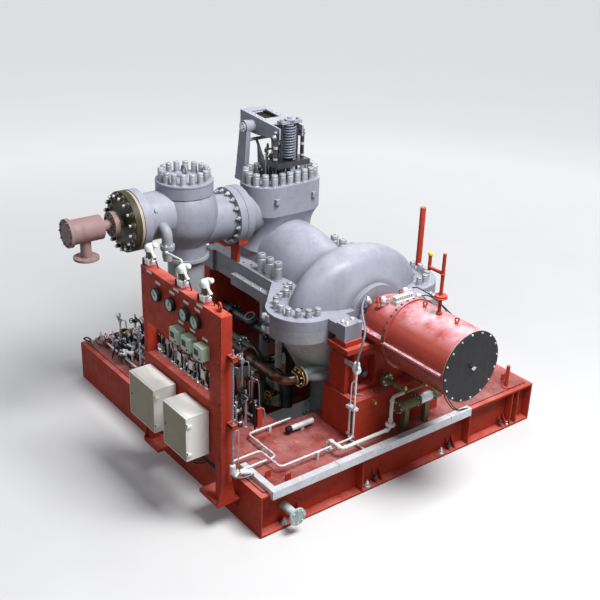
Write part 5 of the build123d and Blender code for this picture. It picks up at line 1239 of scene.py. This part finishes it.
def deck_valves():
    """The rows of small drain valves and tubes on the near strip of the deck, behind the panel."""
    steel = Shape("deck_drain_tubes", "bright_steel")
    dark = Shape("deck_valve_wheels", "rubber_black")
    brass = Shape("deck_valve_brass_wheels", "brass")
    white = Shape("deck_valve_bonnets", "instrument_white")
    red = Shape("deck_tube_brackets", "skid_red")
    for index in range(64):
        row = index % 4
        x = -1.68 + 0.0405 * index
        y = -1.74 + 0.165 * row + 0.02 * (index % 3 - 1)
        height = 0.64 + 0.05 * ((index * 5) % 6)
        if x > -0.1 and row > 1:
            height += 0.045 * ((index * 7) % 9)
        (steel if index % 3 else dark).lathe((x, y, deck), UP, [
            (0, 0.026), (0.012, 0.026), (0.014, 0.012), (height - 0.60, 0.012), (height - 0.59, 0.026),
            (height - 0.545, 0.026), (height - 0.535, 0.011), (height - 0.47, 0.009)], 10)
        turn = Vector((0.5 * ((index % 3) - 1), -0.9 + 0.6 * (index % 2), 0.5)).normalized()
        centre = Vector((x, y, height - 0.07))
        (white, steel, dark, steel)[index % 4].lathe(centre, turn, [
            (0, 0.022), (0.045, 0.022), (0.05, 0.012), (0.07, 0.012), (0.073, 0.007), (0.09, 0.007)], 8)
        wheel = (dark, steel, dark, brass, steel, dark)[(index * 7) % 6]
        hub = centre + turn * 0.09
        wheel.ring(hub, turn, 0.028, 0.006, 6, 14)
        cross = side_ways(turn)[0] * 0.03
        wheel.tube([hub - cross, hub + cross], 0.004, 5)
        bend = centre + Vector((0.05, 0.05, 0))
        foot = (x + 0.05, y + 0.07, 0.51 + 0.02 * row)
        (steel if index % 2 else dark).pipe([centre, bend, foot], 0.03, 0.007, 6)
        if index % 3 == 2:
            dark.hose([centre + Vector((0, 0.02, 0.03)), centre + Vector((0.06, -0.02, 0.07)),
                       centre + Vector((0.11, 0.03, -0.02)), (x + 0.15, y + 0.02, 0.51)], 0.011)
        if index % 4 == 3:
            dark.box((x - 0.03, y - 0.03, deck), (x + 0.035, y + 0.035, 0.60 + 0.03 * (index % 5)), 0.005)
        if index % 7 == 0:
            red.box((x + 0.03, y - 0.03, deck), (x + 0.05, y + 0.03, height - 0.06))
            red.box((x - 0.03, y - 0.03, height - 0.066), (x + 0.05, y + 0.03, height - 0.058))
    for index in range(170):
        x = -1.70 + 2.50 * ((index * 61) % 170) / 170
        y = -1.80 + 0.62 * ((index * 37) % 101) / 101
        rise = 0.05 + 0.15 * ((index * 29) % 31) / 31
        if x > 0 and y > -1.5:
            rise += 0.3 * ((index * 13) % 17) / 17
        foot = Vector((x, y, deck))
        top = foot + Vector((0.04 * ((index * 7) % 5 - 2), 0.04 * ((index * 11) % 5 - 2), rise))
        (dark, steel)[index % 2].tube([foot, top], 0.007, 6)
        way = Vector((((index * 3) % 7 - 3) / 3, ((index * 5) % 7 - 3) / 3, 0.25)).normalized()
        kind = (steel, dark, white, dark, steel, white, dark, steel, dark, brass)[index % 10]
        if index % 3 == 0:
            kind.block(top.x, top.y, top.z - 0.02, top.z + 0.03, 0.022, 0.022, 0.004)
        else:
            kind.lathe(top - way * 0.03, way, [
                (0, 0.016), (0.012, 0.022), (0.05, 0.022), (0.055, 0.011), (0.085, 0.011)], 8)
        if index % 4 == 0:
            dark.hose([top, top + way * 0.07 + UP * 0.03, top + way * 0.12,
                       (x + way.x * 0.16, y + way.y * 0.10, 0.505)], 0.010, 6)
    start, end = -1.74, 0.82
    for y, z, radius in (
        (-1.77, 0.56, 0.013), (-1.62, 0.60, 0.010), (-1.47, 0.57, 0.013), (-1.30, 0.60, 0.016),
    ):
        steel.pipe([(start, y, z), (end, y, z), (end, y + 0.06, z), (end, y + 0.06, 0.5)], 0.04, radius, 10)
        steel.tube([(start, y, z), (start, y, 0.5)], radius)
        for x in (-1.2, -0.6, 0.0, 0.6):
            red.block(x, y, deck, z - 0.004, 0.015, 0.015)
    make(steel, dark, brass, white, red)


def casing_drains():
    """The drain legs and headers below the casing, with their valves, inside the deck's opening."""
    grey = Shape("casing_drain_legs", "casing_lower_grey")
    heat = Shape("casing_drain_valves", "pipe_heat")
    brass = Shape("casing_drain_wheels", "brass")
    dark = Shape("casing_drain_headers", "dark_steel")
    legs = ((-0.22, 0.42, 0.045, 0.22), (0.10, 0.50, 0.06, 0.16), (0.36, 0.62, 0.04, 0.30))
    headers = (
        (0.66, 0.72, 0.07, -0.93, 0.46), (0.50, 1.02, 0.055, -0.95, 0.30), (0.82, 0.98, 0.04, -0.93, 0.20),
    )
    for side in SIDES:
        for x, out, radius, foot in legs:
            y = side * out
            grey.tube([(x, y, foot), (x, y, under(x, y, 0.45).z + 0.01)], radius, 20)
            for height in (foot, foot + 0.30):
                for flange in (height, height + 0.023):
                    grey.disc((x, y, flange), UP, radius * 1.8, 0.02, 24)
                brass.bolts_round((x, y, height + 0.043), UP, 6, radius * 1.45, 0.010)
            bonnet = Vector((x, y, foot + 0.16))
            way = Vector((0.2, side, 0.1))
            heat.lathe(bonnet, way, [(0, radius * 1.05), (0.10, radius * 0.9), (0.105, 0.022), (0.17, 0.018)])
            brass.ring(bonnet + way.normalized() * 0.17, way, 0.05, 0.008)
            spoke = Vector((x + 0.034, y + side * 0.166, foot + 0.177))
            brass.tube([spoke + DRIVE * reach for reach in (-0.05, 0.05)], 0.006, 6)
        for out, z, radius, start, end in headers:
            y = side * out
            inner = side * (out - 0.1)
            dark.pipe([
                (start, y, z), (end, y, z), (end, inner, z - 0.16), (end, inner, 0.30)], 0.09, radius, 18)
            for x in (start + 0.2, end - 0.3):
                for flange in (x, x + 0.024):
                    dark.disc((flange, y, z), DRIVE, radius * 1.75, 0.02, 24)
                grey.bolts_round((x + 0.044, y, z), DRIVE, 8, radius * 1.4, 0.009)
            valve = Vector((end - 0.6, y, z))
            way = Vector((0, side * 0.5, 1))
            dark.lathe(valve, way, [
                (0, radius * 1.3), (radius * 1.6, radius * 1.3), (radius * 1.7, 0.02), (radius * 2.6, 0.016)])
            grey.ring(valve + Vector((0, side * 0.447, 0.894)) * radius * 2.6, way, 0.06, 0.008)
    make(dark, grey, heat, brass)


# Floor, lights and finish


def pale_stage():
    """A level floor that runs out to the horizon and pales with distance where the camera sees it."""
    mesh = bpy.data.meshes.new("floor")
    reach = 60
    mesh.from_pydata([(-reach, -reach, 0), (reach, -reach, 0), (reach, reach, 0), (-reach, reach, 0)], [],
                     [(0, 1, 2, 3)])
    floor = bpy.data.objects.new("floor", mesh)
    scene.collection.objects.link(floor)
    tree = Tree(bpy.data.materials.new("pale_floor"))
    length = tree.add("VectorMath", operation="LENGTH")
    tree.put(length.inputs[0], tree.point())
    far = tree.ramp(length.outputs["Value"], 3.5, 11.0, 0.05, 0.62)
    rays = tree.seen_rays()
    pale = tree.mix(tree.noise(0.7, 4), srgb(0.80, 0.80, 0.80), srgb(0.84, 0.84, 0.84))
    colour = tree.mix(rays, srgb(0.46, 0.46, 0.47), pale)
    tree.shader.inputs["Emission Color"].default_value = srgb(0.93, 0.93, 0.94)
    tree.put(tree.shader.inputs["Emission Strength"], tree.math("MULTIPLY", rays, far))
    mesh.materials.append(tree.finish(colour, 0.8, tree.bump(tree.noise(40, 3), 0.05, 0.002)))


def area_light(name, place, target, size, power, colour=(1, 1, 1)):
    """A square soft light that faces a point."""
    data = bpy.data.lights.new(name, "AREA")
    data.size = size
    data.energy = power
    data.color = colour
    light = bpy.data.objects.new(name, data)
    light.location = place
    light.rotation_mode = "QUATERNION"
    light.rotation_quaternion = (Vector(place) - Vector(target)).to_track_quat("Z", "Y")
    scene.collection.objects.link(light)


def pale_world():
    """Soft light from all round, with a paler tone where the camera or a reflection sees it."""
    world = bpy.data.worlds.new("studio")
    scene.world = world
    tree = Tree(world)
    plain = tree.nodes["Background"]
    plain.inputs["Color"].default_value = (0.86, 0.90, 1.0, 1)
    plain.inputs["Strength"].default_value = 0.24
    backdrop = tree.add("Background")
    backdrop.inputs["Color"].default_value = srgb(0.92, 0.93, 0.94)
    mixed = tree.add("MixShader")
    for socket, value in zip(mixed.inputs, (tree.seen_rays(), plain.outputs[0], backdrop.outputs[0])):
        tree.put(socket, value)
    tree.put(tree.nodes["World Output"].inputs["Surface"], mixed.outputs[0])


photo_camera()
stud_nuts()
inlet_details()
casing_bolts()
closing_spring()
lever_pins()
pilot_gear()
guard_details()
bearing_instruments()
pedestal_details()
pipe_fittings()
deck_details()
gauges()
panel_tags()
door_furniture()
pressure_switches()
panel_fittings()
panel_tubing()
deck_valves()
casing_drains()
pale_stage()
pale_world()
area_light("key", (4.8, 0.2, 9.7), (0, 0, 1.2), 4, 1480)
area_light("fill", (-6, -8, 6), (0, 0, 1.5), 6, 45, (0.96, 0.98, 1))
area_light("back", (-5, 6, 8), (0, 0, 1.5), 5, 220)
scene.view_settings.view_transform = "Standard"
